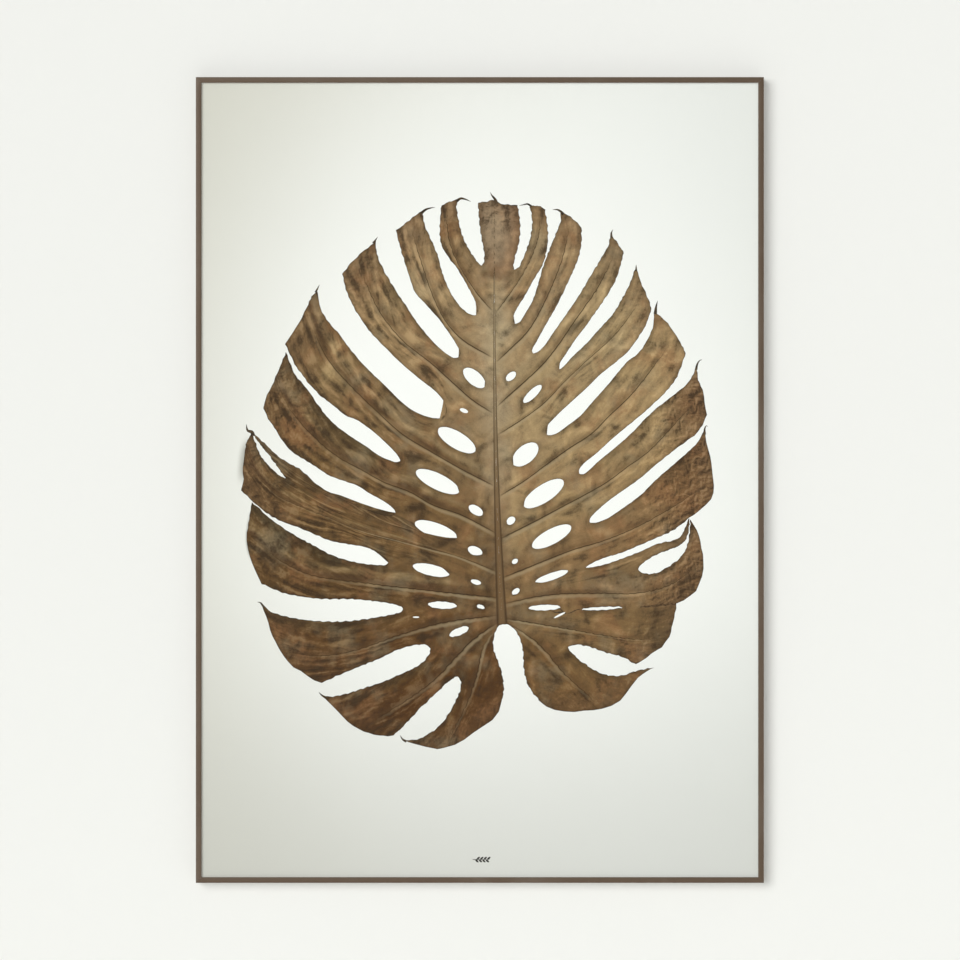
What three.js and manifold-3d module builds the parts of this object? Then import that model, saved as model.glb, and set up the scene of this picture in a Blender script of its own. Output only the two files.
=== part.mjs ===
// A framed art print, 70 by 100 format: a slim metal section frame, its glazed package and its hardware.
// Millimetres. X runs to the right, Y runs back towards the wall and Z runs up.
// The origin is the middle of the whole object.
import * as THREE from 'three';
import { mergeVertices } from 'three/addons/utils/BufferGeometryUtils.js';
import Module from 'manifold-3d';

const wasm = await Module();
wasm.setup();

// Driving dimensions
const frameWidth = 712;
const frameHeight = 1010;
const railDepth = 22;
const bumperHeight = 2;
const fit = 0.1; // clearance between neighbouring pieces

// The rail's section, measured inward from its outer side and back from its front face
const faceWidth = 7.1;
const wall = 1.5;
const web = 1.2;
const ledgeFront = 13;
const channelDepth = 12;
const lipLength = 2.1;
const channelMiddle = (wall + channelDepth - web) / 2;
const channelWidth = channelDepth - web - wall;

// The package behind the front lip
const sheetWidth = 705;
const sheetHeight = 1003;
const glazingThickness = 2;
const paperThickness = 0.3;
const boardThickness = 3;

// The hardware
const plateLeg = 48;
const plateThickness = 2;
const shimThickness = 0.8;
const screwSpot = 30;
const cornerScrewRadius = 2;
const hangerScrewRadius = 1.5;
const clipLength = 60;
const clipWidth = 12;
const clipThickness = 0.5;
const hangerSpread = 180;
const hangerLength = 44;
const bumperSpot = 62;

const frontFace = -(railDepth + bumperHeight) / 2;
const glazingFront = frontFace + wall + fit;
const paperFront = glazingFront + glazingThickness + fit;
const boardFront = paperFront + paperThickness + fit;
const boardBack = boardFront + boardThickness;
const channelFront = frontFace + ledgeFront + web;
const channelBack = frontFace + railDepth - web;
const railBack = frontFace + railDepth;

const finishes = {
  frame: { color: 0x685a4a, roughness: 0.45, metalness: 0.6 },
  glazing: { color: 0xf6f8f8, roughness: 0.03, metalness: 0, transparent: true, opacity: 0.15 },
  paper: { color: 0xe6e7df, roughness: 0.85, metalness: 0 },
  board: { color: 0x8a6a48, roughness: 0.8, metalness: 0 },
  steel: { color: 0xb4b6b8, roughness: 0.35, metalness: 1 },
  rubber: { color: 0x2c2c2d, roughness: 0.9, metalness: 0 },
};

const model = new THREE.Group();

function addPiece(parent, name, geometry, finish) {
  const mesh = new THREE.Mesh(geometry, new THREE.MeshStandardMaterial(finishes[finish]));
  mesh.name = name;
  parent.add(mesh);
  return mesh;
}

function toSolid(geometry) {
  const bare = geometry.clone();
  bare.deleteAttribute('normal');
  bare.deleteAttribute('uv');
  const merged = mergeVertices(bare);
  return new wasm.Manifold(new wasm.Mesh({
    numProp: 3,
    vertProperties: merged.attributes.position.array,
    triVerts: new Uint32Array(merged.index.array),
  }));
}

function toGeometry(solid) {
  const mesh = solid.getMesh();
  const geometry = new THREE.BufferGeometry();
  geometry.setAttribute('position', new THREE.BufferAttribute(mesh.vertProperties, 3));
  geometry.setIndex(new THREE.BufferAttribute(mesh.triVerts, 1));
  return geometry;
}

// A box between two corners
function block(low, high) {
  const size = high.map((value, axis) => value - low[axis]);
  const geometry = new THREE.BoxGeometry(...size);
  geometry.translate(...low.map((value, axis) => value + size[axis] / 2));
  return geometry;
}

// A flat plate parallel to the sheet, from an outline drawn in X and Z
function plate(outline, front, thickness) {
  const geometry = new THREE.ExtrudeGeometry(outline, {
    depth: thickness,
    bevelEnabled: false,
    curveSegments: 10,
  });
  geometry.rotateX(Math.PI / 2);
  geometry.translate(0, front + thickness, 0);
  return geometry;
}

// A cylinder whose axis runs back towards the wall
function pin(radius, front, back, across, along) {
  const geometry = new THREE.CylinderGeometry(radius, radius, back - front, 20);
  geometry.translate(across, (front + back) / 2, along);
  return geometry;
}

// Four rails, each drawn at the left side and turned about Y to its own side
const sides = [
  { name: 'left', turn: 0, reach: frameWidth / 2, length: frameHeight, clips: [-360, 0, 360] },
  { name: 'top', turn: Math.PI / 2, reach: frameHeight / 2, length: frameWidth, clips: [-95, 95] },
  { name: 'right', turn: Math.PI, reach: frameWidth / 2, length: frameHeight, clips: [-360, 0, 360] },
  { name: 'bottom', turn: -Math.PI / 2, reach: frameHeight / 2, length: frameWidth, clips: [-180, 180] },
];

function sideGroup(side) {
  const turned = new THREE.Group();
  turned.rotation.y = side.turn;
  const atRail = new THREE.Group();
  atRail.position.set(-side.reach, 0, 0);
  turned.add(atRail);
  model.add(turned);
  return atRail;
}

// One open section: the front lip and outer wall hold the package, the ledge and inner wall make the rear channel
function railSection() {
  const inner = channelDepth - web;
  const section = new THREE.Shape();
  section.moveTo(0, frontFace);
  section.lineTo(faceWidth, frontFace);
  section.lineTo(faceWidth, frontFace + wall);
  section.lineTo(wall, frontFace + wall);
  section.lineTo(wall, frontFace + ledgeFront);
  section.lineTo(channelDepth, frontFace + ledgeFront);
  section.lineTo(channelDepth, railBack);
  section.lineTo(inner - lipLength, railBack);
  section.lineTo(inner - lipLength, channelBack);
  section.lineTo(inner, channelBack);
  section.lineTo(inner, channelFront);
  section.lineTo(wall, channelFront);
  section.lineTo(wall, channelBack);
  section.lineTo(wall + lipLength, channelBack);
  section.lineTo(wall + lipLength, railBack);
  section.lineTo(0, railBack);
  section.closePath();
  return section;
}

// The section is carried the rail's length and each end is cut back by its distance from the outer side
function mitredRail(length) {
  const geometry = new THREE.ExtrudeGeometry(railSection(), { depth: 1, bevelEnabled: false });
  const corners = geometry.attributes.position;
  for (let i = 0; i < corners.count; i += 1) {
    const reach = length / 2 - corners.getX(i) - fit / 2;
    corners.setZ(i, corners.getZ(i) > 0.5 ? reach : -reach);
  }
  geometry.computeVertexNormals();
  return geometry;
}

// A strip bowed to an arc: its middle presses on the board and its ends press on the ledge
function springClip() {
  const space = frontFace + ledgeFront - boardBack - 2 * fit;
  const rise = space - clipThickness;
  const radius = (clipLength * clipLength / 4 + rise * rise) / (2 * rise);
  const half = Math.asin(clipLength / 2 / radius);
  const middle = boardBack + fit + radius;
  const down = -Math.PI / 2;
  const strip = new THREE.Shape();
  strip.absarc(0, middle, radius, down - half, down + half, false);
  strip.absarc(0, middle, radius - clipThickness, down + half, down - half, true);
  strip.closePath();
  const geometry = new THREE.ExtrudeGeometry(strip, {
    depth: clipWidth,
    bevelEnabled: false,
    curveSegments: 18,
  });
  geometry.rotateY(Math.PI / 2);
  return geometry;
}

// An L with equal legs that fills the channel round a corner, with the corner at the origin
function cornerOutline(holeRadius) {
  const outer = wall + fit;
  const inner = wall + channelWidth - fit;
  const outline = new THREE.Shape();
  outline.moveTo(outer, outer);
  outline.lineTo(plateLeg, outer);
  outline.lineTo(plateLeg, inner);
  outline.lineTo(inner, inner);
  outline.lineTo(inner, plateLeg);
  outline.lineTo(outer, plateLeg);
  outline.closePath();
  if (holeRadius > 0) {
    for (const [x, z] of [[screwSpot, channelMiddle], [channelMiddle, screwSpot]]) {
      const hole = new THREE.Path();
      hole.absarc(x, z, holeRadius, 0, Math.PI * 2, true);
      outline.holes.push(hole);
    }
  }
  return outline;
}

// A headless screw with a slot cut across its rear end
function setScrew(radius, front, back, x, z) {
  const slotDepth = 1;
  const slotHalf = 0.4;
  const shank = toSolid(pin(radius, front, back, x, z));
  const slot = toSolid(block(
    [x - slotHalf, back - slotDepth, z - radius - 1],
    [x + slotHalf, back + 1, z + radius + 1],
  ));
  return toGeometry(shank.subtract(slot));
}

// The eye's upper edge has teeth, so that the hook can be moved sideways to level the frame
function hangerTab() {
  const near = channelMiddle - 2;
  const far = 30;
  const half = hangerLength / 2;
  const round = 4;
  const eyeNear = 15;
  const eyeFar = 23.5;
  const eyeHalf = 8;
  const toothDepth = 1.2;
  const teeth = 8;
  const outline = new THREE.Shape();
  outline.moveTo(near, -half);
  outline.lineTo(far - round, -half);
  outline.absarc(far - round, -half + round, round, -Math.PI / 2, 0, false);
  outline.lineTo(far, half - round);
  outline.absarc(far - round, half - round, round, 0, Math.PI / 2, false);
  outline.lineTo(near, half);
  outline.closePath();
  const eye = new THREE.Path();
  eye.moveTo(eyeFar, eyeHalf);
  eye.lineTo(eyeFar, -eyeHalf);
  for (let tooth = 0; tooth < teeth; tooth += 1) {
    const start = -eyeHalf + tooth * 2 * eyeHalf / teeth;
    eye.lineTo(eyeNear + toothDepth, start);
    eye.lineTo(eyeNear, start + eyeHalf / teeth);
  }
  eye.lineTo(eyeNear + toothDepth, eyeHalf);
  eye.closePath();
  outline.holes.push(eye);
  return outline;
}

// A foot behind the channel's lips, a neck through the slot and a flat tab behind the rail, in one stamping
function hanger() {
  const footThickness = 1.8;
  const tabThickness = 1.2;
  const neckHalf = channelWidth / 2 - lipLength - 2 * fit;
  const footBack = channelBack - fit;
  const half = hangerLength / 2;
  const foot = block(
    [wall + fit, footBack - footThickness, -half],
    [wall + channelWidth - fit, footBack, half],
  );
  const neck = block(
    [channelMiddle - neckHalf, footBack - 0.5, -half],
    [channelMiddle + neckHalf, railBack + fit + 0.5, half],
  );
  const tab = plate(hangerTab(), railBack + fit, tabThickness);
  const hole = pin(hangerScrewRadius + fit, channelFront, railBack + 3, channelMiddle, 0);
  return toGeometry(toSolid(foot).add(toSolid(neck)).add(toSolid(tab)).subtract(toSolid(hole)));
}

// A low rubber stud: a flat front, a rounded shoulder and a flat rear face
function bumper() {
  const radius = 5.4;
  const shoulder = 1;
  const height = bumperHeight - fit / 2;
  const profile = new THREE.Path();
  profile.moveTo(0, 0);
  profile.lineTo(radius, 0);
  profile.lineTo(radius, height - shoulder);
  profile.absarc(radius - shoulder, height - shoulder, shoulder, 0, Math.PI / 2, false);
  profile.lineTo(0, height);
  const geometry = new THREE.LatheGeometry(profile.getPoints(5), 28);
  geometry.translate(0, railBack + fit / 2, 0);
  return geometry;
}

function addFrameAndClips() {
  for (const side of sides) {
    const group = sideGroup(side);
    addPiece(group, `rail_${side.name}`, mitredRail(side.length), 'frame');
    side.clips.forEach((along, index) => {
      const clip = addPiece(group, `spring_clip_${side.name}_${index + 1}`, springClip(), 'steel');
      clip.position.set(wall + 1, 0, along);
    });
    if (side.name === 'top') {
      addHangers(group);
    }
  }
}

function addHangers(group) {
  for (const [name, along] of [['left', -hangerSpread], ['right', hangerSpread]]) {
    const screw = setScrew(hangerScrewRadius, channelFront + fit, railBack + 1.1, channelMiddle, 0);
    addPiece(group, `hanger_${name}`, hanger(), 'steel').position.z = along;
    addPiece(group, `hanger_screw_${name}`, screw, 'steel').position.z = along;
  }
}

function addPackage() {
  const half = [sheetWidth / 2, sheetHeight / 2];
  const layers = [
    ['clear_glazing', glazingFront, glazingThickness, 'glazing'],
    ['print_sheet', paperFront, paperThickness, 'paper'],
    ['backing_board', boardFront, boardThickness, 'board'],
  ];
  for (const [name, front, thickness, finish] of layers) {
    const sheet = block([-half[0], front, -half[1]], [half[0], front + thickness, half[1]]);
    addPiece(model, name, sheet, finish);
  }
}

// Four corners, each drawn at the lower left and turned about Y to its own place
function addCorners() {
  const corners = [
    { name: 'lower_left', turn: 0, x: -1, z: -1 },
    { name: 'upper_left', turn: Math.PI / 2, x: -1, z: 1 },
    { name: 'upper_right', turn: Math.PI, x: 1, z: 1 },
    { name: 'lower_right', turn: -Math.PI / 2, x: 1, z: -1 },
  ];
  const plateFront = channelBack - fit - plateThickness;
  const shimFront = channelFront + fit;
  const screwFront = shimFront + shimThickness + fit;
  const screwBack = channelBack - fit;
  for (const corner of corners) {
    const group = new THREE.Group();
    group.position.set(corner.x * frameWidth / 2, 0, corner.z * frameHeight / 2);
    group.rotation.y = corner.turn;
    model.add(group);
    const threaded = plate(cornerOutline(cornerScrewRadius + fit), plateFront, plateThickness);
    const plain = plate(cornerOutline(0), shimFront, shimThickness);
    addPiece(group, `corner_plate_${corner.name}`, threaded, 'steel');
    addPiece(group, `corner_shim_${corner.name}`, plain, 'steel');
    [[screwSpot, channelMiddle], [channelMiddle, screwSpot]].forEach(([x, z], index) => {
      const screw = setScrew(cornerScrewRadius, screwFront, screwBack, x, z);
      addPiece(group, `corner_screw_${corner.name}_${index + 1}`, screw, 'steel');
    });
  }
}

function addBumpers() {
  const z = -frameHeight / 2 + channelMiddle;
  const x = frameWidth / 2 - bumperSpot;
  addPiece(model, 'bumper_left', bumper(), 'rubber').position.set(-x, 0, z);
  addPiece(model, 'bumper_right', bumper(), 'rubber').position.set(x, 0, z);
}

addFrameAndClips();
addPackage();
addCorners();
addBumpers();

export default model;
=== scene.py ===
# A framed leaf print: the looks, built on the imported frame. Metres, X right, Y back to the wall, Z up.
import math

import bmesh
import bpy
import numpy as np
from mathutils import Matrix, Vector


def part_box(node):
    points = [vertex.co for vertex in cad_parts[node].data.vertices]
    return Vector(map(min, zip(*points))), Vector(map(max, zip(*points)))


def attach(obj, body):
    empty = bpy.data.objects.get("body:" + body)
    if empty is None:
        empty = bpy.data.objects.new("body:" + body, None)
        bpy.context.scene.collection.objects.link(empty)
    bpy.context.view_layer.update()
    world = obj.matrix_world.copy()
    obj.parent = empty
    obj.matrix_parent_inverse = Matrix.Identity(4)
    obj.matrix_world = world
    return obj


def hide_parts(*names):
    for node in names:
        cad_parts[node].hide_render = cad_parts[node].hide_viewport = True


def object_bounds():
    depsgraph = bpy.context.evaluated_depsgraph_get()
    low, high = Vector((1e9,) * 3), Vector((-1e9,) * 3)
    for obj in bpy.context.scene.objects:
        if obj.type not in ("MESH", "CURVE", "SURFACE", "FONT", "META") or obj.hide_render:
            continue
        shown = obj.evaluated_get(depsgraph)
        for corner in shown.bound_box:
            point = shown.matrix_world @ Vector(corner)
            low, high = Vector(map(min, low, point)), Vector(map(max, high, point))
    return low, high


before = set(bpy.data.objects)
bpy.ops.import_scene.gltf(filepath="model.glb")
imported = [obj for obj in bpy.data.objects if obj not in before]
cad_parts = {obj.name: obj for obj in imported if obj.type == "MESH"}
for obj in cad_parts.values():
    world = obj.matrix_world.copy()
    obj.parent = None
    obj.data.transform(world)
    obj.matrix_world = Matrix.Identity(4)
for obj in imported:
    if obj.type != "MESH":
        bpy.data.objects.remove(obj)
cadLow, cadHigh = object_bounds()
mm = 0.001
railNames = ["left", "top", "right", "bottom"]
print("frame loaded, box", [round(v, 4) for v in (*cadLow, *cadHigh)])


# A screen colour, 0 to 255 a channel, as the linear colour that shaders use.
def srgb(red, green, blue):
    part = np.array([red, green, blue]) / 255
    part = np.where(part <= 0.04045, part / 12.92, ((part + 0.055) / 1.055) ** 2.4)
    return (*part.tolist(), 1.0)


# 0 below low, 1 above high, and the cubic 3t^2 - 2t^3 between them.
def smooth(value, low, high):
    t = np.clip((value - low) / (high - low), 0, 1)
    return t * t * (3 - 2 * t)


def plug(tree, socket, value):
    if isinstance(value, bpy.types.NodeSocket):
        tree.links.new(value, socket)
    else:
        socket.default_value = value


def addNode(tree, kind, inputs=None, **settings):
    made = tree.nodes.new(kind)
    for key, value in settings.items():
        setattr(made, key, value)
    for key, value in (inputs or {}).items():
        plug(tree, made.inputs[key], value)
    return made


def calc(tree, operation, *values):
    made = tree.nodes.new("ShaderNodeMath")
    made.operation = operation
    for index, value in enumerate(values):
        plug(tree, made.inputs[index], value)
    return made.outputs[0]


# A soft step from toLow to toHigh as value goes from low to high.
def ramp(tree, value, low, high, toLow=0.0, toHigh=1.0):
    made = addNode(tree, "ShaderNodeMapRange", {"Value": value}, interpolation_type="SMOOTHSTEP")
    for key, amount in (("From Min", low), ("From Max", high), ("To Min", toLow), ("To Max", toHigh)):
        plug(tree, made.inputs[key], amount)
    return made.outputs["Result"]


def tint(tree, factor, first, second, way="MIX"):
    made = addNode(tree, "ShaderNodeMix", data_type="RGBA", blend_type=way)
    plug(tree, made.inputs[0], factor)
    plug(tree, made.inputs[6], first)
    plug(tree, made.inputs[7], second)
    return made.outputs[2]


# The colour times a plain number.
def brighten(tree, colour, factor):
    made = addNode(tree, "ShaderNodeVectorMath", operation="SCALE")
    plug(tree, made.inputs[0], colour[:3] if isinstance(colour, tuple) else colour)
    plug(tree, made.inputs["Scale"], factor)
    return made.outputs[0]


# Noise from 0 to 1 with its middle at about a half.
def cloud(tree, vector, scale, detail=3.0, roughness=0.55, distortion=0.0):
    inputs = {"Vector": vector, "Scale": scale, "Detail": detail, "Roughness": roughness,
              "Distortion": distortion}
    return addNode(tree, "ShaderNodeTexNoise", inputs).outputs[0]


def stretched(tree, vector, scale, shift=(0.0, 0.0, 0.0)):
    return addNode(tree, "ShaderNodeMapping", {"Vector": vector, "Scale": scale,
                                               "Location": shift}).outputs[0]


def objectPlace(tree):
    return addNode(tree, "ShaderNodeTexCoord").outputs["Object"]


# An empty shader group. Sockets are given as name: (kind, default) and name: kind.
def newGroup(name, inputs, outputs):
    tree = bpy.data.node_groups.new(name, "ShaderNodeTree")
    for label, (kind, default) in inputs.items():
        made = tree.interface.new_socket(name=label, in_out="INPUT", socket_type=kind)
        if default is not None:
            made.default_value = default
    for label, kind in outputs.items():
        tree.interface.new_socket(name=label, in_out="OUTPUT", socket_type=kind)
    return tree, tree.nodes.new("NodeGroupInput").outputs, tree.nodes.new("NodeGroupOutput").inputs


def useGroup(tree, group, **inputs):
    made = tree.nodes.new("ShaderNodeGroup")
    made.node_tree = group
    for label, value in inputs.items():
        plug(tree, made.inputs[label], value)
    return made.outputs


# A material with one Principled BSDF. The fixed values go on the shader's own sockets.
def newMaterial(name, **fixed):
    made = bpy.data.materials.new(name)
    made.use_nodes = True
    tree = made.node_tree
    tree.nodes.clear()
    shader = tree.nodes.new("ShaderNodeBsdfPrincipled")
    out = tree.nodes.new("ShaderNodeOutputMaterial")
    tree.links.new(shader.outputs[0], out.inputs[0])
    for label, value in fixed.items():
        shader.inputs[label].default_value = value
    return made, tree, shader.inputs


def bump(tree, height, strength, distance=mm):
    inputs = {"Height": height, "Strength": strength, "Distance": distance}
    return addNode(tree, "ShaderNodeBump", inputs).outputs[0]


# A mesh object in metres from points in millimetres. A closed shape is turned outwards by its volume, an
# open one towards facing. corners holds vector attributes with one row for each face corner.
def finishMesh(name, points, faces, material, corners=None, facing=None):
    points = np.asarray(points, float).reshape(-1, 3)
    starts = np.concatenate([[0], np.cumsum([len(f) for f in faces])])
    flat = np.concatenate([np.asarray(f) for f in faces])
    lengths = np.diff(starts)
    fans = [np.stack([block[:, [0, i, i + 1]] for i in range(1, size - 1)], axis=1).reshape(-1, 3)
            for size in np.unique(lengths)
            for block in [flat[starts[:-1][lengths == size][:, None] + np.arange(size)]]]
    a, b, c = points[np.vstack(fans)].transpose(1, 0, 2)
    turn = np.cross(b - a, c - a)
    outward = (turn @ np.array(facing)).sum() if facing else (turn * a).sum()
    order = np.arange(len(flat))
    if outward < 0:
        order = starts[:-1].repeat(lengths) + starts[1:].repeat(lengths) - 1 - order
        flat = flat[order]
    mesh = bpy.data.meshes.new(name)
    mesh.vertices.add(len(points))
    mesh.vertices.foreach_set("co", (points * mm).ravel())
    mesh.loops.add(len(flat))
    mesh.loops.foreach_set("vertex_index", flat.astype(np.int32))
    mesh.polygons.add(len(lengths))
    mesh.polygons.foreach_set("loop_start", starts[:-1].astype(np.int32))
    mesh.update(calc_edges=True)
    for label, rows in (corners or {}).items():
        made = mesh.attributes.new(label, "FLOAT_VECTOR", "CORNER")
        made.data.foreach_set("vector", np.asarray(rows, float)[order].ravel())
    mesh.validate()
    mesh.shade_smooth()
    mesh.set_sharp_from_angle(angle=math.radians(32))
    mesh.materials.append(material)
    piece = bpy.data.objects.new(name, mesh)
    bpy.context.scene.collection.objects.link(piece)
    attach(piece, "root")
    return piece


# Quads of a rows by columns grid of points. wrap joins the last column to the first.
def gridFaces(rows, columns, wrap=False):
    i, j = np.meshgrid(np.arange(rows - 1), np.arange(columns if wrap else columns - 1), indexing="ij")
    k = (j + 1) % columns
    return np.stack([i * columns + j, (i + 1) * columns + j, (i + 1) * columns + k, i * columns + k],
                    -1).reshape(-1, 4)


# A tube from rings of points, rows x ring x 3, with a flat cap on each end. route is a rows x ring x 3
# vector carried to the corners as the attribute route.
def sweptMesh(name, grid, material, route=None, facing=None):
    rows, ring = grid.shape[:2]
    quads = gridFaces(rows, ring, wrap=True)
    faces = list(quads) + [np.arange(ring), np.arange(ring)[::-1] + (rows - 1) * ring]
    corners = None
    if route is not None:
        values = route.reshape(-1, 3)[np.concatenate([np.asarray(f) for f in faces])]
        lap = np.tile([0, 0, 1, 1], len(quads)) * (np.repeat(quads[:, 0] % ring == ring - 1, 4))
        values[:len(lap), 1] += lap * (2 * route[0, -1, 1] - route[0, -2, 1] - route[0, 0, 1])
        corners = {"route": values}
    piece = finishMesh(name, grid, faces, material, corners, facing)
    for cap in list(piece.data.polygons)[-2:]:
        cap.use_smooth = False
    return piece


# A closed outline whose corners are eased by parabolas that start radius before each corner.
def roundedCorners(corners, radii, steps=5):
    corners = np.asarray(corners, float)
    before, after = np.roll(corners, 1, axis=0) - corners, np.roll(corners, -1, axis=0) - corners
    reach = np.broadcast_to(np.asarray(radii, float), len(corners))[:, None]
    first = corners + before / np.linalg.norm(before, axis=1)[:, None] * reach
    last = corners + after / np.linalg.norm(after, axis=1)[:, None] * reach
    t = np.linspace(0, 1, steps)[None, :, None]
    arcs = first[:, None] * (1 - t) ** 2 + 2 * corners[:, None] * t * (1 - t) + last[:, None] * t * t
    return arcs.reshape(-1, 2)


# A flat slab in a node's box: rings of a rounded rectangle, eased at the front and back edges. trim moves
# the front and back faces inwards.
def slabMesh(name, node, material, ease, cornerRadius, trim=(0.0, 0.0)):
    low, high = [np.array(v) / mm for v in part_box(node)]
    front, back = low[1] + trim[0], high[1] - trim[1]
    t = np.linspace(0, math.pi / 2, 4)
    inset = np.concatenate([ease * (1 - np.sin(t)), ease * (1 - np.cos(t))])
    depth = np.concatenate([front + ease * (1 - np.cos(t)), back - ease * (1 - np.sin(t))])
    half = (high - low)[[0, 2]] / 2
    unit = np.array([(-1, -1), (1, -1), (1, 1), (-1, 1)], float)
    rings = [np.insert(roundedCorners(unit * (half - e), cornerRadius), 1, d, axis=1) for e, d in zip(inset,
        depth)]
    return sweptMesh(name, np.stack(rings), material)


# Long fine scratches and grain. Along is the lengthways direction of the place given.
def makeGrainGroup():
    inputs = {"Place": ("NodeSocketVector", None), "Fineness": ("NodeSocketFloat", 1.0),
              "Stretch": ("NodeSocketFloat", 30.0)}
    tree, into, out = newGroup("drawnGrain", inputs, {"Grain": "NodeSocketFloat",
                                                      "Patches": "NodeSocketFloat"})
    parts = addNode(tree, "ShaderNodeSeparateXYZ", {"Vector": into["Place"]}).outputs
    along = calc(tree, "DIVIDE", parts[0], into["Stretch"])
    pressed = addNode(tree, "ShaderNodeCombineXYZ", {"X": along, "Y": parts[1], "Z": parts[2]}).outputs[0]
    fine = cloud(tree, pressed, calc(tree, "MULTIPLY", into["Fineness"], 2600.0), 4.0, 0.7)
    broad = cloud(tree, pressed, calc(tree, "MULTIPLY", into["Fineness"], 420.0), 2.0, 0.5)
    plug(tree, out["Grain"], calc(tree, "MULTIPLY_ADD", broad, 0.35, calc(tree, "MULTIPLY", fine, 0.65)))
    plug(tree, out["Patches"], cloud(tree, into["Place"], 14.0, 3.0))
    return tree


# Thin dust and finger marks: soft patches broken up by specks
def makeDustGroup():
    tree, into, out = newGroup("thinDust", {"Place": ("NodeSocketVector", None),
                                            "Amount": ("NodeSocketFloat", 0.3)},
                               {"Mask": "NodeSocketFloat"})
    patches = ramp(tree, cloud(tree, into["Place"], 9.0, 5.0, 0.6, 0.4), 0.45, 0.75)
    specks = ramp(tree, cloud(tree, into["Place"], 900.0, 2.0), 0.55, 0.75)
    both = calc(tree, "MULTIPLY_ADD", specks, 0.5, calc(tree, "MULTIPLY", patches, 0.5))
    plug(tree, out["Mask"], calc(tree, "MULTIPLY", both, into["Amount"]))
    return tree


# The tooth of a heavy matt paper: crossed fibres over a slightly uneven sheet
def makeToothGroup():
    tree, into, out = newGroup("paperTooth", {"Place": ("NodeSocketVector", None)},
                               {"Height": "NodeSocketFloat", "Fibre": "NodeSocketFloat"})
    across = cloud(tree, stretched(tree, into["Place"], (1.0, 1.0, 3.2)), 1300.0, 3.0, 0.65)
    upright = cloud(tree, stretched(tree, into["Place"], (3.2, 1.0, 1.0), (0.3, 0.0, 0.1)), 1100.0, 3.0, 0.65)
    fibre = calc(tree, "MULTIPLY", calc(tree, "ADD", across, upright), 0.5)
    plug(tree, out["Fibre"], fibre)
    plug(tree, out["Height"], calc(tree, "MULTIPLY_ADD", cloud(tree, into["Place"], 160.0, 2.0), 0.6, fibre))
    return tree


# The sheet's printed background: brightest right of the middle, falling off to the left edge, to the corners
# and to the foot, as a wall does beside one window
sheetTone = {
    "bright": srgb(250, 249, 247),
    "left": srgb(211, 208, 198),
    "right": srgb(229, 229, 226),
    "foot": srgb(189, 188, 183),
    "halfSize": (0.352, 0.501),
}


def makeSheetGroup():
    tree, into, out = newGroup("sheetBackground", {"Place": ("NodeSocketVector", None)},
                               {"Color": "NodeSocketColor"})
    parts = addNode(tree, "ShaderNodeSeparateXYZ", {"Vector": into["Place"]}).outputs
    u = calc(tree, "DIVIDE", parts[0], sheetTone["halfSize"][0])
    w = calc(tree, "DIVIDE", parts[2], sheetTone["halfSize"][1])
    reach = calc(tree, "SQRT", calc(tree, "MULTIPLY_ADD", u, u, calc(tree, "MULTIPLY",
                                                                     calc(tree, "MULTIPLY", w, w), 0.8)))
    side = tint(tree, ramp(tree, u, -0.7, 0.7), sheetTone["left"], sheetTone["right"])
    colour = tint(tree, ramp(tree, reach, 0.35, 1.45), sheetTone["bright"], side)
    colour = tint(tree, ramp(tree, w, -0.1, -1.1, 0.0, 0.55), colour, sheetTone["foot"])
    haze = calc(tree, "MULTIPLY_ADD", cloud(tree, into["Place"], 5.0, 2.0), 0.02, 0.99)
    plug(tree, out["Color"], brighten(tree, colour, haze))
    return tree


grainGroup = makeGrainGroup()
dustGroup = makeDustGroup()
toothGroup = makeToothGroup()
sheetGroup = makeSheetGroup()


# The four rails: one drawn aluminium section with a dark brown satin coat, mitred at the corners
rail = {
    "colour": srgb(81, 63, 44),
    "worn": srgb(132, 118, 98),
    "roughness": 0.42,
    "face": 7.1,
    "wall": 1.5,
    "web": 1.2,
    "depth": 22.0,
    "ledge": 13.0,
    "channel": 12.0,
    "lip": 2.1,
    "ease": 0.35,
    "frontEase": 0.55,
    "mitreGap": 0.05,
    "stations": 61,
}


def makeRailFinish():
    made, tree, shader = newMaterial("brownSatinCoat", Metallic=0.25, **{"Coat Weight": 0.12,
        "Coat Roughness": 0.3})
    route = addNode(tree, "ShaderNodeAttribute", attribute_name="route").outputs["Vector"]
    grain = useGroup(tree, grainGroup, Place=route, Fineness=1.0, Stretch=45.0)
    edge = addNode(tree, "ShaderNodeSeparateXYZ", {"Vector": route}).outputs[2]
    broken = ramp(tree, cloud(tree, objectPlace(tree), 260.0, 4.0, 0.7), 0.42, 0.62)
    wear = calc(tree, "MULTIPLY", ramp(tree, edge, 0.0005, 0.0, 0.0, 0.55), broken)
    dust = useGroup(tree, dustGroup, Place=objectPlace(tree), Amount=0.18)["Mask"]
    shade = calc(tree, "MULTIPLY_ADD", grain["Grain"], 0.22, 0.89)
    shade = calc(tree, "MULTIPLY", shade, calc(tree, "MULTIPLY_ADD", grain["Patches"], 0.16, 0.92))
    colour = tint(tree, wear, brighten(tree, rail["colour"], shade), rail["worn"])
    plug(tree, shader["Base Color"], tint(tree, dust, colour, srgb(150, 146, 136)))
    rough = calc(tree, "MULTIPLY_ADD", grain["Grain"], 0.16, rail["roughness"] - 0.08)
    plug(tree, shader["Roughness"], calc(tree, "MULTIPLY_ADD", dust, 0.5, rough))
    plug(tree, shader["Normal"], bump(tree, grain["Grain"], 0.12, 0.05 * mm))
    return made


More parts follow.
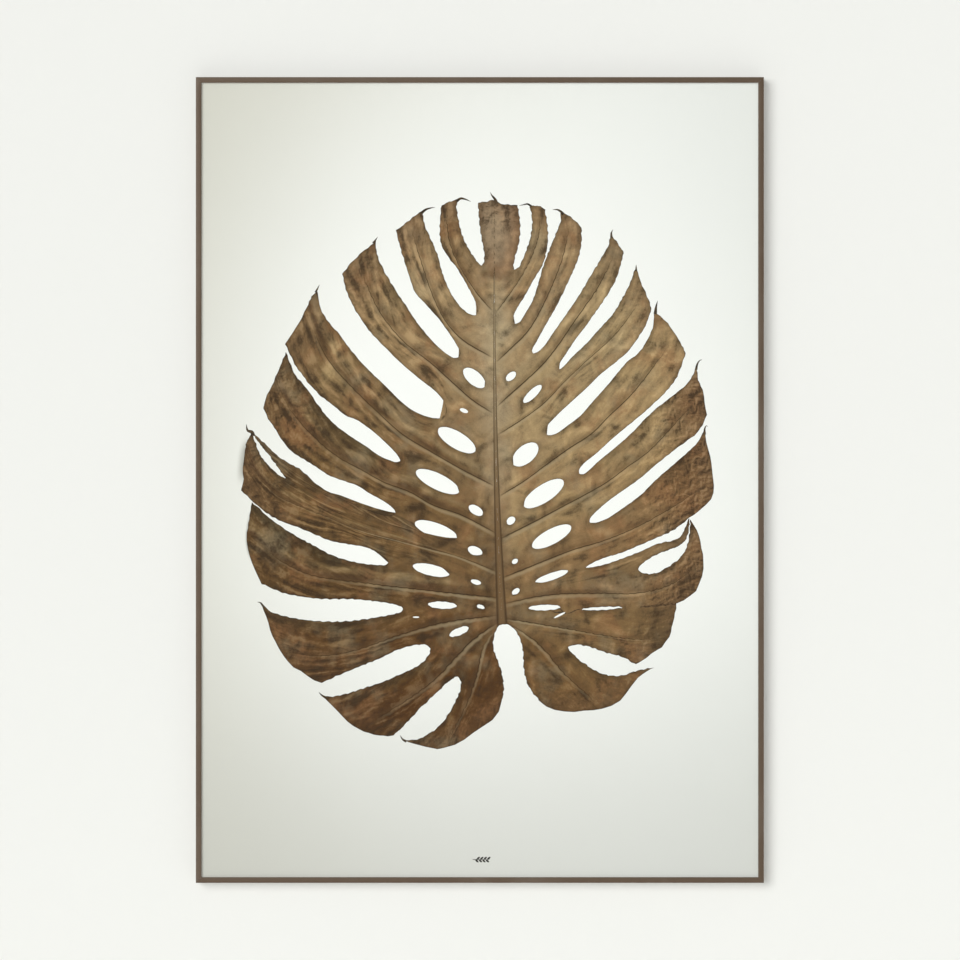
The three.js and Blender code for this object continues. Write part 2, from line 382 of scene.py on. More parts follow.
# The open section: w runs in from the outer side, y back from the front face
def railSection():
    face, wall, web, back = rail["face"], rail["wall"], rail["web"], rail["depth"]
    ledge, channel, lip = rail["ledge"], rail["channel"], rail["lip"]
    corners = [
        (0, 0), (face, 0), (face, wall), (wall, wall), (wall, ledge), (channel, ledge), (channel, back),
        (channel - web - lip, back), (channel - web - lip, back - web), (channel - web, back - web),
        (channel - web, ledge + web), (wall, ledge + web), (wall, back - web), (wall + lip, back - web),
        (wall + lip, back), (0, back),
    ]
    ease = np.full(len(corners), rail["ease"])
    ease[:2] = rail["frontEase"]
    return roundedCorners(corners, ease)


# The section is carried along the rail. Each point stops at its own distance in from the outer side,
# which makes the mitre. A turn about Y then takes it to its side of the frame.
def makeRail(side, turn, halfAcross, halfAlong, material):
    section = railSection()
    s = np.linspace(-1, 1, rail["stations"])[:, None]
    w = section[:, 0]
    along = s * (halfAlong - w - rail["mitreGap"])
    across = np.broadcast_to(w - halfAcross, along.shape)
    depth = np.broadcast_to(cadLow.y / mm + section[:, 1], along.shape)
    grid = np.stack([across * np.cos(turn) + along * np.sin(turn), depth,
                     along * np.cos(turn) - across * np.sin(turn)], axis=-1)
    run = np.concatenate([[0], np.cumsum(np.linalg.norm(np.diff(section, axis=0), axis=1))])
    fromCorner = np.tile(np.abs(np.linspace(-1, 1, 5)), len(section) // 5) * 0.5
    route = np.stack([along, np.broadcast_to(run, along.shape), np.broadcast_to(fromCorner, along.shape)],
                     -1) * mm
    piece = sweptMesh(f"rail{side.title()}", grid, material, route)
    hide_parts(f"rail_{side}")


def makeRails():
    coat = makeRailFinish()
    halfWidth, halfHeight = cadHigh.x / mm, cadHigh.z / mm
    for index, side in enumerate(railNames):
        upright = side in ("left", "right")
        reach, length = (halfWidth, halfHeight) if upright else (halfHeight, halfWidth)
        turn = (0, math.pi / 2, math.pi, -math.pi / 2)[index]
        makeRail(side, turn, reach, length, coat)
    print("rails made")


# The glazing: a clear sheet with a low-reflection face and ground edges
glazing = {"ease": 0.25, "corner": 1.0, "roughness": 0.02, "ior": 1.45, "tint": srgb(253, 255, 254)}


def makeGlazing():
    made, tree, shader = newMaterial(
        "lowReflectionGlass", Roughness=glazing["roughness"], IOR=glazing["ior"],
        **{"Transmission Weight": 1.0, "Base Color": glazing["tint"], "Specular IOR Level": 0.08})
    out = next(n for n in tree.nodes if n.type == "OUTPUT_MATERIAL")
    clear = addNode(tree, "ShaderNodeBsdfTransparent", {"Color": srgb(253, 254, 253)})
    seen = addNode(tree, "ShaderNodeLightPath").outputs["Is Camera Ray"]
    mix = addNode(tree, "ShaderNodeMixShader", {"Fac": seen})
    tree.links.new(clear.outputs[0], mix.inputs[1])
    tree.links.new(shader["Roughness"].node.outputs[0], mix.inputs[2])
    tree.links.new(mix.outputs[0], out.inputs[0])
    smear = cloud(tree, objectPlace(tree), 12.0, 4.0, 0.6, 0.5)
    plug(tree, shader["Normal"], bump(tree, smear, 0.01, 0.02 * mm))
    piece = slabMesh("glazingSheet", "clear_glazing", made, glazing["ease"], glazing["corner"])
    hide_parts("clear_glazing")
    print("glazing made")


# The paper, with its front face a little behind the glazing so that the printed layers lie between
paper = {"ease": 0.04, "corner": 0.5, "behind": 0.12}


def makePaper():
    made, tree, shader = newMaterial("mattArtPaper", **{"Specular IOR Level": 0.2})
    place = objectPlace(tree)
    tooth = useGroup(tree, toothGroup, Place=place)
    background = useGroup(tree, sheetGroup, Place=place)["Color"]
    speck = calc(tree, "MULTIPLY_ADD", tooth["Fibre"], 0.05, 0.975)
    plug(tree, shader["Base Color"], brighten(tree, background, speck))
    plug(tree, shader["Roughness"], calc(tree, "MULTIPLY_ADD", tooth["Fibre"], 0.1, 0.8))
    plug(tree, shader["Normal"], bump(tree, tooth["Height"], 0.03, 0.05 * mm))
    piece = slabMesh("artPaper", "print_sheet", made, paper["ease"], paper["corner"], (paper["behind"], 0.0))
    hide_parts("print_sheet")
    print("paper made")


# The printed leaf. Its midrib is a formula; each slit between two lobes is one seam that starts on the
# midrib,
# passes through any holes and opens into two banks. Millimetres on the sheet.
leaf = {
    "foot": -182.0,
    "crown": 326.0,
    "crownAcross": 18.0,
    "lean": 10.0,
    "ribWidth": (1.4, 11.0),
    "inner": 56,
    "outer": 56,
    "rows": 7,
    "settle": 60,
    "front": 0.07,
    "film": 0.02,
    "spread": 0.4,
    "strength": (0.98, 0.94, 0.85),
}
# start: height on the midrib. holes: centre, length, width, tilt. route: on to the slit's inner end.
# above and below: the slit's banks from its inner end to the lobes' tips.
leafSeams = {
    "topLeft": {
        "start": 240,
        "route": [(2, 269)],
        "above": [(5, 273), (6, 283), (3, 300), (0, 321), (-2, 348)],
        "below": [(-2, 272), (-10, 283), (-20, 300), (-27, 325), (-30, 345)],
    },
    "left1": {
        "start": 180,
        "route": [(-5, 207)],
        "above": [(-2, 212), (-4, 221), (-14, 241), (-26, 262), (-40, 281), (-48, 295), (-50, 315),
                  (-48, 345)],
        "below": [(-11, 207), (-18, 211), (-28, 221), (-40, 241), (-48, 262), (-53, 281), (-61, 300),
                  (-70, 321),
                  (-72, 334)],
    },
    "left2": {
        "start": 100,
        "holes": [(-7, 128, 34, 17, -41)],
        "route": [(-27, 154)],
        "above": [(-24, 159), (-29, 170), (-36, 181), (-51, 202), (-68, 221), (-81, 236), (-87, 252),
                  (-98, 287),
                  (-105, 313)],
        "below": [(-33, 153), (-42, 158), (-55, 169), (-66, 181), (-81, 200), (-94, 220), (-108, 241),
                  (-120, 262),
                  (-129, 282), (-131, 300)],
    },
    "left3": {
        "start": 20,
        "holes": [(-29, 50, 54, 21, -31)],
        "route": [(-43, 81)],
        "above": [(-41, 88), (-45, 99), (-54, 110), (-79, 130), (-102, 150), (-121, 169), (-138, 187),
                  (-152, 207), (-160, 222), (-168, 241), (-172, 259)],
        "below": [(-47, 78), (-54, 77), (-69, 80), (-86, 88), (-100, 99), (-119, 118), (-141, 139),
                  (-159, 159),
                  (-176, 182), (-191, 199), (-200, 214), (-204, 235)],
    },
    "left4": {
        "start": -50,
        "holes": [(-5, -38, 20, 11, -32), (-53, -2, 60, 20, -26)],
        "route": [(-100, 24)],
        "above": [(-101, 28), (-107, 36), (-121, 50), (-136, 63), (-155, 76), (-168, 81), (-180, 91),
                  (-203, 109),
                  (-225, 135), (-235, 151), (-244, 171)],
        "below": [(-105, 22), (-112, 24), (-126, 30), (-143, 42), (-166, 57), (-187, 74), (-201, 91),
                  (-216, 113),
                  (-230, 130), (-239, 148), (-243, 160)],
    },
    "left5": {
        "start": -95,
        "holes": [(-6, -89, 19, 11, -22), (-55, -63, 56, 18, -20)],
        "route": [(-106, -41)],
        "above": [(-108, -36), (-121, -26), (-139, -16), (-153, -7), (-173, 0), (-189, 6), (-207, 18),
                  (-230, 32),
                  (-242, 42), (-250, 54), (-260, 69), (-268, 82), (-271, 91)],
        "below": [(-109, -45), (-120, -45), (-136, -40), (-157, -32), (-184, -19), (-200, -9), (-212, 1),
                  (-228, 15), (-240, 20), (-257, 32), (-268, 44), (-284, 58)],
    },
    "left6Strip": {
        "start": -108,
        "route": [(-20, -98), (-70, -80), (-120, -58), (-180, -33), (-244, 3)],
        "above": [(-247, 7), (-255, 19), (-264, 31), (-273, 42), (-284, 57)],
        "below": [(-248, 3), (-257, 10), (-269, 22), (-277, 34), (-282, 47), (-286, 57)],
    },
    "left6": {
        "start": -132,
        "holes": [(-5, -128, 13, 6, -15), (-61, -113, 47, 14, -13)],
        "route": [(-115, -104)],
        "above": [(-116, -100), (-126, -92), (-143, -84), (-166, -80), (-187, -76), (-207, -68), (-228, -59),
                  (-248, -52), (-260, -46), (-272, -38), (-286, -26), (-299, -13)],
        "below": [(-119, -107), (-128, -107), (-148, -105), (-170, -100), (-189, -93), (-207, -83),
                  (-228, -72),
                  (-248, -59), (-261, -50), (-272, -40), (-286, -28)],
    },
    "left7": {
        "start": -162,
        "holes": [(1, -159, 10, 5, -14), (-47, -157, 36, 9, -3)],
        "route": [(-96, -162)],
        "above": [(-100, -158), (-115, -154), (-138, -151), (-161, -149), (-188, -149), (-208, -148),
                  (-229, -145),
                  (-247, -141), (-273, -130)],
        "below": [(-100, -166), (-115, -170), (-138, -174), (-161, -177), (-181, -178), (-208, -177),
                  (-231, -174),
                  (-249, -170), (-263, -165), (-274, -155)],
    },
    "left8": {
        "start": -172,
        "holes": [(-26, -190, 26, 9, 23)],
        "route": [(-62, -212)],
        "above": [(-65, -207), (-74, -206), (-88, -208), (-106, -214), (-127, -224), (-147, -232),
                  (-169, -241),
                  (-199, -254)],
        "below": [(-64, -220), (-76, -232), (-97, -243), (-120, -253), (-147, -262), (-169, -269),
                  (-190, -272),
                  (-198, -270)],
    },
    "left9": {
        "start": -176,
        "route": [(-27, -247)],
        "above": [(-33, -248), (-41, -254), (-54, -266), (-74, -285), (-88, -300), (-109, -321)],
        "below": [(-24, -252), (-24, -262), (-31, -279), (-40, -295), (-51, -309), (-65, -319), (-79, -326),
                  (-96, -326)],
    },
    "topRight": {
        "start": 240,
        "route": [(43, 264)],
        "above": [(42, 268), (44, 280), (48, 294), (50, 308), (50, 323), (47, 345)],
        "below": [(47, 265), (53, 274), (59, 289), (64, 305), (66, 325), (63, 343)],
    },
    "right1": {
        "start": 170,
        "route": [(44, 196)],
        "above": [(41, 201), (45, 213), (56, 231), (67, 251), (78, 269), (82, 281), (85, 301), (84, 323),
                  (81, 340)],
        "below": [(50, 198), (58, 210), (67, 226), (74, 248), (81, 272), (90, 295), (97, 312), (102, 326),
                  (101, 334)],
    },
    "right2": {
        "start": 112,
        "holes": [(39, 130, 15, 9, 42)],
        "route": [(67, 159)],
        "above": [(65, 162), (72, 176), (83, 196), (95, 217), (107, 241), (117, 263), (123, 278), (127, 297),
                  (127, 317)],
        "below": [(72, 160), (81, 168), (92, 184), (111, 211), (127, 235), (141, 259), (152, 277), (161, 293),
                  (165, 308)],
    },
    "right3": {
        "start": 75,
        "holes": [(66, 108, 31, 10, 44)],
        "route": [(100, 139)],
        "above": [(100, 146), (108, 159), (120, 177), (133, 194), (147, 214), (160, 233), (169, 249),
                  (174, 262),
                  (180, 285)],
        "below": [(105, 142), (117, 155), (133, 170), (151, 190), (167, 208), (179, 228), (188, 245),
                  (196, 268)],
    },
    "right4": {
        "start": 12,
        "holes": [(57, 32, 39, 22, 40)],
        "route": [(84, 57)],
        "above": [(82, 62), (85, 69), (95, 80), (113, 97), (135, 117), (150, 132), (170, 148), (186, 162),
                  (199, 180), (208, 195), (215, 216)],
        "below": [(89, 56), (96, 58), (109, 67), (127, 81), (141, 97), (158, 116), (173, 134), (184, 147),
                  (200, 160),
                  (211, 177), (218, 195), (219, 214)],
    },
    "right5": {
        "start": -58,
        "holes": [(39, -51, 12, 9, 40), (80, -17, 59, 22, 33)],
        "route": [(125, 8)],
        "above": [(124, 12), (129, 20), (145, 33), (168, 54), (191, 73), (209, 88), (231, 109), (245, 126),
                  (252, 142), (258, 160)],
        "below": [(130, 7), (137, 12), (150, 24), (172, 42), (193, 61), (209, 78), (227, 94), (243, 106),
                  (263, 124),
                  (272, 142)],
    },
    "right6": {
        "start": -108,
        "holes": [(44, -102, 8, 6, 30), (90, -71, 55, 19, 28)],
        "route": [(138, -53)],
        "above": [(138, -48), (146, -39), (161, -26), (179, -13), (199, 1), (220, 19), (240, 35), (256, 47),
                  (272, 59), (280, 71), (285, 82)],
        "below": [(144, -54), (159, -49), (179, -36), (202, -19), (222, 1), (243, 19), (261, 35), (274, 48),
                  (282, 65)],
    },
    "right7": {
        "start": -142,
        "holes": [(45, -140, 11, 7, 38), (90, -121, 43, 9, 19)],
        "route": [(133, -110)],
        "above": [(137, -106), (154, -98), (177, -91), (199, -82), (220, -73), (236, -66), (249, -58),
                  (262, -48)],
        "below": [(138, -110), (158, -106), (181, -98), (204, -89), (218, -82), (232, -78), (247, -77),
                  (254, -69),
                  (262, -49)],
    },
    "right8Strip": {
        "start": -150,
        "route": [(80, -136), (130, -128), (170, -121), (199, -112)],
        "above": [(202, -106), (213, -98), (227, -91), (245, -84), (256, -77), (261, -67), (263, -49)],
        "below": [(202, -116), (210, -118), (222, -117), (238, -108), (252, -97), (260, -83), (263, -67),
                  (264, -50)],
    },
    "right8": {
        "start": -166,
        "holes": [(81, -160, 40, 7, 2), (153, -161, 51, 3.5, 3)],
        "route": [(201, -159)],
        "above": [(220, -158), (246, -155)],
        "below": [(220, -158), (246, -155)],
    },
    "right9": {
        "start": -176,
        "route": [(111, -209)],
        "above": [(114, -207), (122, -206), (138, -209), (158, -216), (179, -222), (195, -231)],
        "below": [(112, -213), (120, -222), (136, -234), (152, -243), (168, -246), (181, -245), (195, -240),
                  (219, -235)],
    },
}
leafVeins = {
    "top": [240, (19, 278), (18, 348)],
    "left1": [210, (3, 226), (-18, 255), (-35, 288), (-41, 320), (-39, 348)],
    "left2": [152, (-22, 176), (-44, 200), (-61, 236), (-74, 275), (-88, 324)],
    "left3": [82, (-9, 100), (-34, 122), (-62, 147), (-96, 174), (-124, 208), (-143, 248), (-153, 279)],
    "left4": [-9, (-20, 12), (-64, 37), (-98, 58), (-128, 85), (-160, 116), (-191, 152), (-208, 190),
              (-216, 218)],
    "left5": [-68, (-23, -44), (-60, -31), (-88, -15), (-120, -3), (-149, 13), (-178, 29), (-206, 52),
              (-240, 92),
              (-256, 129)],
    "left6": [-116, (-29, -95), (-64, -86), (-109, -74), (-137, -67), (-167, -57), (-190, -47), (-224, -34),
              (-256, -18), (-280, 8), (-294, 38)],
    "left7": [-148, (-42, -141), (-88, -136), (-115, -133), (-145, -129), (-180, -125), (-213, -119),
              (-242, -106),
              (-270, -86), (-291, -66)],
    "left8": [-169, (-42, -178), (-77, -187), (-111, -198), (-150, -212), (-190, -220), (-228, -218),
              (-251, -211)],
    "left9": [-175, (-8, -200), (-31, -223), (-48, -242), (-66, -258), (-84, -271), (-112, -289),
              (-150, -311)],
    "left10": [-178, (6, -205), (-4, -245), (-16, -280), (-34, -315), (-46, -335)],
    "right2": [207, (32, 226), (50, 252), (67, 285), (75, 315), (73, 343)],
    "right3": [146, (40, 166), (59, 185), (72, 205), (89, 240), (104, 280), (114, 328)],
    "right4": [90, (31, 101), (58, 125), (78, 144), (96, 166), (120, 201), (147, 240), (166, 278),
               (172, 298)],
    "right5": [55, (53, 76), (80, 96), (108, 125), (130, 146), (171, 184), (195, 217), (206, 239)],
    "right6": [-22, (56, -1), (82, 18), (111, 39), (140, 58), (162, 80), (190, 107), (222, 148), (245, 182)],
    "right7": [-75, (65, -54), (99, -36), (131, -19), (159, -3), (186, 17), (212, 36), (246, 72), (270, 100),
               (279, 113)],
    "right8": [-124, (65, -108), (92, -97), (122, -86), (150, -78), (184, -65), (218, -48), (256, -25),
               (293, 2)],
    "right9": [-156, (67, -147), (99, -143), (149, -142), (196, -142), (238, -132), (262, -116), (280, -101)],
    "right10": [-173, (70, -180), (111, -187), (150, -194), (196, -200), (237, -197)],
    "right11": [-178, (44, -185), (67, -200), (88, -221), (104, -241), (127, -262), (154, -287)],
}
leafEnds = {
    "top": [(8, 349), (17, 351), (28, 346)],
    "left1": [(-27, 352), (-38, 349)],
    "left2": [(-73, 337), (-88, 326)],
    "left3": [(-141, 291), (-155, 279), (-166, 267)],
    "left4": [(-208, 234), (-216, 219), (-225, 200), (-237, 181)],
    "left5": [(-251, 141), (-259, 123), (-269, 101)],
    "left6": [(-291, 51), (-295, 35), (-297, 14), (-297, -1)],
    "left7": [(-290, -54), (-292, -72), (-290, -90), (-285, -106), (-280, -116)],
    "left8": [(-271, -163), (-264, -184), (-258, -200), (-249, -216), (-233, -236), (-222, -241),
              (-212, -249)],
    "left9": [(-188, -280), (-176, -292), (-166, -304), (-140, -317), (-120, -321)],
    "left10": [(-74, -333), (-53, -337), (-24, -329), (-12, -320), (9, -306), (21, -296)],
    "right2": [(73, 344)],
    "right3": [(104, 335), (113, 330), (122, 323)],
    "right4": [(171, 300)],
    "right5": [(200, 253), (206, 239), (211, 227)],
    "right6": [(224, 207), (236, 196), (245, 183), (254, 168)],
    "right7": [(274, 125), (279, 114), (282, 97)],
    "right8": [(284, 50), (288, 35), (291, 19), (293, -1), (292, -19), (282, -33)],
    "right9": [(272, -63), (278, -83), (280, -101), (280, -110), (277, -125), (270, -140), (258, -149)],
    "right10": [(246, -162), (243, -176), (238, -196), (229, -208), (217, -217), (204, -226)],
    "right11": [(204, -241), (195, -252), (185, -266), (172, -280), (154, -287), (131, -290), (110, -291),
                (90, -287)],
}
leafNotch = {
    "left10": [(23, -184), (18, -196), (17, -210), (22, -226), (28, -244), (30, -262), (28, -277)],
    "right11": [(34, -181), (43, -187), (50, -198), (54, -214), (55, -235), (58, -251), (65, -265),
                (74, -276)],
}
leafHooks = [
    (4, [(21, 347), (19, 352), (15, 357), (13, 361)]),
    (3.5, [(-30, 349), (-24, 353), (-18, 352), (-11, 349)]),
    (3.5, [(-74, 334), (-68, 339), (-62, 341), (-56, 342)]),
    (2.5, [(-134, 297), (-130, 302), (-128, 305)]),
    (2.5, [(-206, 235), (-203, 241), (-201, 245)]),
    (5, [(-284, 55), (-286, 60), (-291, 62), (-293, 70)]),
    (2.5, [(-272, -158), (-275, -154), (-279, -153)]),
    (3, [(-193, -273), (-198, -270), (-202, -266)]),
    (3, [(-92, -328), (-97, -325), (-100, -320)]),
    (2.5, [(65, 343), (60, 346), (54, 345), (49, 344)]),
    (3.5, [(105, 333), (101, 337), (97, 339), (91, 339)]),
    (3, [(165, 304), (165, 310), (167, 314)]),
    (2.5, [(196, 262), (196, 270)]),
    (4, [(220, 208), (221, 217), (223, 225)]),
    (3, [(271, 138), (273, 146), (276, 150), (279, 151)]),
    (3, [(282, 57), (282, 64), (284, 68), (286, 67)]),
]
# Each lobe with the seam above it and the seam below it. None is the notch at the foot.
leafOrder = [
    ("top", "topLeft", "topRight"),
    ("left1", "topLeft", "left1"),
    ("left2", "left1", "left2"),
    ("left3", "left2", "left3"),
    ("left4", "left3", "left4"),
    ("left5", "left4", "left5"),
    ("left6Strip", "left5", "left6Strip"),
    ("left6", "left6Strip", "left6"),
    ("left7", "left6", "left7"),
    ("left8", "left7", "left8"),
    ("left9", "left8", "left9"),
    ("left10", "left9", None),
    ("right2", "topRight", "right1"),
    ("right3", "right1", "right2"),
    ("right4", "right2", "right3"),
    ("right5", "right3", "right4"),
    ("right6", "right4", "right5"),
    ("right7", "right5", "right6"),
    ("right8", "right6", "right7"),
    ("right8Strip", "right7", "right8Strip"),
    ("right9", "right8Strip", "right8"),
    ("right10", "right8", "right9"),
    ("right11", "right9", None),
]

# Tone of each lobe: band is the dark fold above its vein, bank the dark border of its upper edge,
# tip the darkening at its end, crease the crumpling there, and ink its own colour at full strength
leafTones = {
    "top": {"band": 0.0, "bank": 0.2, "tip": 0.35, "crease": 0.7, "ink": (124, 98, 78)},
    "left1": {"band": 0.2, "bank": 0.35, "tip": 0.5, "crease": 0.5, "ink": (136, 112, 84)},
    "left2": {"band": 0.25, "bank": 0.2, "tip": 0.45, "crease": 0.25, "ink": (156, 134, 106)},
    "left3": {"band": 0.3, "bank": 0.35, "tip": 0.35, "crease": 0.35, "ink": (144, 122, 94)},
    "left4": {"band": 0.9, "bank": 0.1, "tip": 0.3, "crease": 0.25, "ink": (122, 100, 72)},
    "left5": {"band": 0.9, "bank": 0.6, "tip": 0.35, "crease": 0.6, "ink": (108, 84, 54)},
    "left6Strip": {"band": 0.0, "bank": 0.4, "tip": 0.4, "crease": 0.2, "ink": (100, 78, 52)},
    "left6": {"band": 0.95, "bank": 0.35, "tip": 0.45, "crease": 0.5, "ink": (108, 84, 54)},
    "left7": {"band": 0.95, "bank": 0.85, "tip": 0.1, "crease": 0.5, "ink": (88, 64, 34)},
    "left8": {"band": 0.3, "bank": 0.5, "tip": 0.35, "crease": 0.3, "ink": (86, 58, 26)},
    "left9": {"band": 0.2, "bank": 0.5, "tip": 0.4, "crease": 0.3, "ink": (78, 49, 14)},
    "left10": {"band": 0.2, "bank": 0.2, "tip": 0.35, "crease": 0.4, "ink": (80, 52, 20)},
    "right2": {"band": 0.0, "bank": 0.15, "tip": 0.3, "crease": 0.2, "ink": (154, 132, 104)},
    "right3": {"band": 0.1, "bank": 0.25, "tip": 0.35, "crease": 0.2, "ink": (158, 136, 108)},
    "right4": {"band": 0.1, "bank": 0.15, "tip": 0.4, "crease": 0.2, "ink": (166, 146, 116)},
    "right5": {"band": 0.1, "bank": 0.25, "tip": 0.25, "crease": 0.3, "ink": (162, 142, 112)},
    "right6": {"band": 0.1, "bank": 0.25, "tip": 0.1, "crease": 0.2, "ink": (164, 142, 110)},
    "right7": {"band": 0.1, "bank": 0.2, "tip": 0.55, "crease": 0.9, "ink": (154, 132, 100)},
    "right8": {"band": 0.15, "bank": 0.2, "tip": 0.45, "crease": 1.0, "ink": (132, 106, 76)},
    "right8Strip": {"band": 0.0, "bank": 0.2, "tip": 0.5, "crease": 0.2, "ink": (126, 104, 76)},
    "right9": {"band": 0.1, "bank": 0.2, "tip": 0.35, "crease": 0.9, "ink": (124, 98, 70)},
    "right10": {"band": 0.15, "bank": 0.2, "tip": 0.4, "crease": 0.4, "ink": (118, 94, 64)},
    "right11": {"band": 0.2, "bank": 0.3, "tip": 0.3, "crease": 0.3, "ink": (108, 82, 50)},
}
# Tone over the whole leaf, wherever two lobes join: centre across and up, reach across and up, tilt,
# strength, ink
leafPatches = [
    (60, 40, 420, 420, 0, 1.0, (138, 114, 86)),
    (-220, -80, 190, 230, 0, 0.9, (92, 67, 36)),
    (-60, -280, 260, 100, 0, 0.95, (78, 50, 18)),
    (120, -200, 110, 70, 0, 0.6, (118, 94, 62)),
    (-60, 230, 80, 90, 0, 0.6, (156, 138, 110)),
    (150, 180, 120, 140, 0, 0.75, (166, 148, 124)),
    (40, 120, 70, 150, 0, 0.6, (158, 142, 120)),
    (10, 165, 36, 62, 0, 0.8, (164, 150, 128)),
    (30, 178, 16, 20, 0, 0.7, (172, 158, 134)),
    (60, 120, 50, 40, 40, 0.5, (156, 140, 112)),
    (30, 255, 40, 7, -8, 0.75, (96, 72, 46)),
    (24, -176, 12, 12, 0, 0.8, (72, 50, 30)),
    (12, -110, 26, 70, 0, 0.55, (92, 68, 42)),
    (16, 320, 34, 30, 0, 0.5, (108, 82, 66)),
]
# Marks laid over the lobes' own inks, in the same form: dark folds, bright creases and reddish tips
leafMarks = [
    (-214, -84, 52, 15, -24, 0.7, (58, 42, 18)),
    (-150, -88, 40, 8, -8, 0.5, (66, 48, 24)),
    (-202, 88, 46, 11, -52, 0.65, (66, 50, 28)),
    (-185, 152, 8, 34, -20, 0.6, (172, 156, 124)),
    (-170, 122, 30, 8, -48, 0.55, (170, 152, 120)),
    (-196, 164, 7, 30, -8, 0.5, (80, 60, 34)),
    (-150, 104, 34, 6, -44, 0.6, (70, 52, 28)),
    (-150, 30, 60, 8, -28, 0.5, (72, 54, 30)),
    (-184, -14, 60, 9, -24, 0.5, (76, 62, 38)),
    (-250, -10, 26, 26, 0, 0.4, (84, 62, 36)),
    (-150, -230, 60, 22, 10, 0.4, (74, 50, 24)),
    (-128, -290, 50, 24, 25, 0.5, (66, 42, 16)),
    (-105, -250, 34, 7, 35, 0.4, (136, 110, 76)),
    (266, 92, 22, 26, 0, 0.5, (104, 72, 46)),
    (256, -4, 28, 40, 10, 0.55, (96, 68, 42)),
    (250, 30, 40, 9, 36, 0.4, (72, 50, 28)),
    (262, -124, 26, 20, 30, 0.5, (88, 66, 42)),
    (226, -196, 30, 28, 30, 0.5, (84, 68, 44)),
    (168, -116, 26, 8, -6, 0.5, (80, 62, 38)),
    (175, 190, 50, 12, 50, 0.35, (172, 152, 118)),
    (140, 110, 60, 12, 40, 0.35, (168, 150, 116)),
    (215, 145, 40, 10, 40, 0.35, (170, 146, 110)),
    (-96, 250, 10, 40, 20, 0.4, (164, 146, 114)),
]


def ribPlace(height):
    t = np.clip((leaf["crown"] - height) / (leaf["crown"] - leaf["foot"]), 0, 1)
    return leaf["crownAcross"] + leaf["lean"] * t ** 2.8


def ribHalf(height):
    t = np.clip((leaf["crown"] - height) / (leaf["crown"] - leaf["foot"]), 0, 1)
    return (leaf["ribWidth"][0] + leaf["ribWidth"][1] * t ** 1.9) / 2


# A cubic through the points, each slope from the point's neighbours, read off at fractions of its length.
# lead is a point before the first that only sets the direction in which the line starts.
def flowLine(points, fractions, lead=None):
    p = np.array(points, float)
    if lead is not None:
        p = np.vstack([lead, p])
    t = np.concatenate([[0], np.cumsum(np.sqrt(np.linalg.norm(np.diff(p, axis=0), axis=1)))])
    step = np.diff(t)[:, None]
    slope = np.diff(p, axis=0) / step
    m = np.vstack([slope[:1], (slope[:-1] * step[1:] + slope[1:] * step[:-1]) / (step[1:] + step[:-1]),
                   slope[-1:]])
    s = np.linspace(0, 1, 24, endpoint=False)[None, :, None]
    dense = (p[:-1, None] * (1 + 2 * s) * (1 - s) ** 2 + m[:-1, None] * step[:, None] * s * (1 - s) ** 2
             + p[1:, None] * s * s * (3 - 2 * s) + m[1:, None] * step[:, None] * s * s * (s - 1))
    if lead is not None:
        dense = dense[1:]
    dense = np.vstack([dense.reshape(-1, 2), p[-1:]])
    run = np.concatenate([[0], np.cumsum(np.linalg.norm(np.diff(dense, axis=0), axis=1))])
    at = np.asarray(fractions) * run[-1]
    return np.stack([np.interp(at, run, dense[:, 0]), np.interp(at, run, dense[:, 1])], axis=1)


# A cubic from start to end that leaves along leave and arrives along arrive
def bridge(start, end, leave, arrive, count):
    s = np.linspace(0, 1, count)[:, None]
    pull = np.linalg.norm(end - start)
    return (start * (1 + 2 * s) * (1 - s) ** 2 + leave * pull * s * (1 - s) ** 2
            + end * s * s * (3 - 2 * s) + arrive * pull * s * s * (s - 1))


def unit(vector):
    return vector / np.linalg.norm(vector)


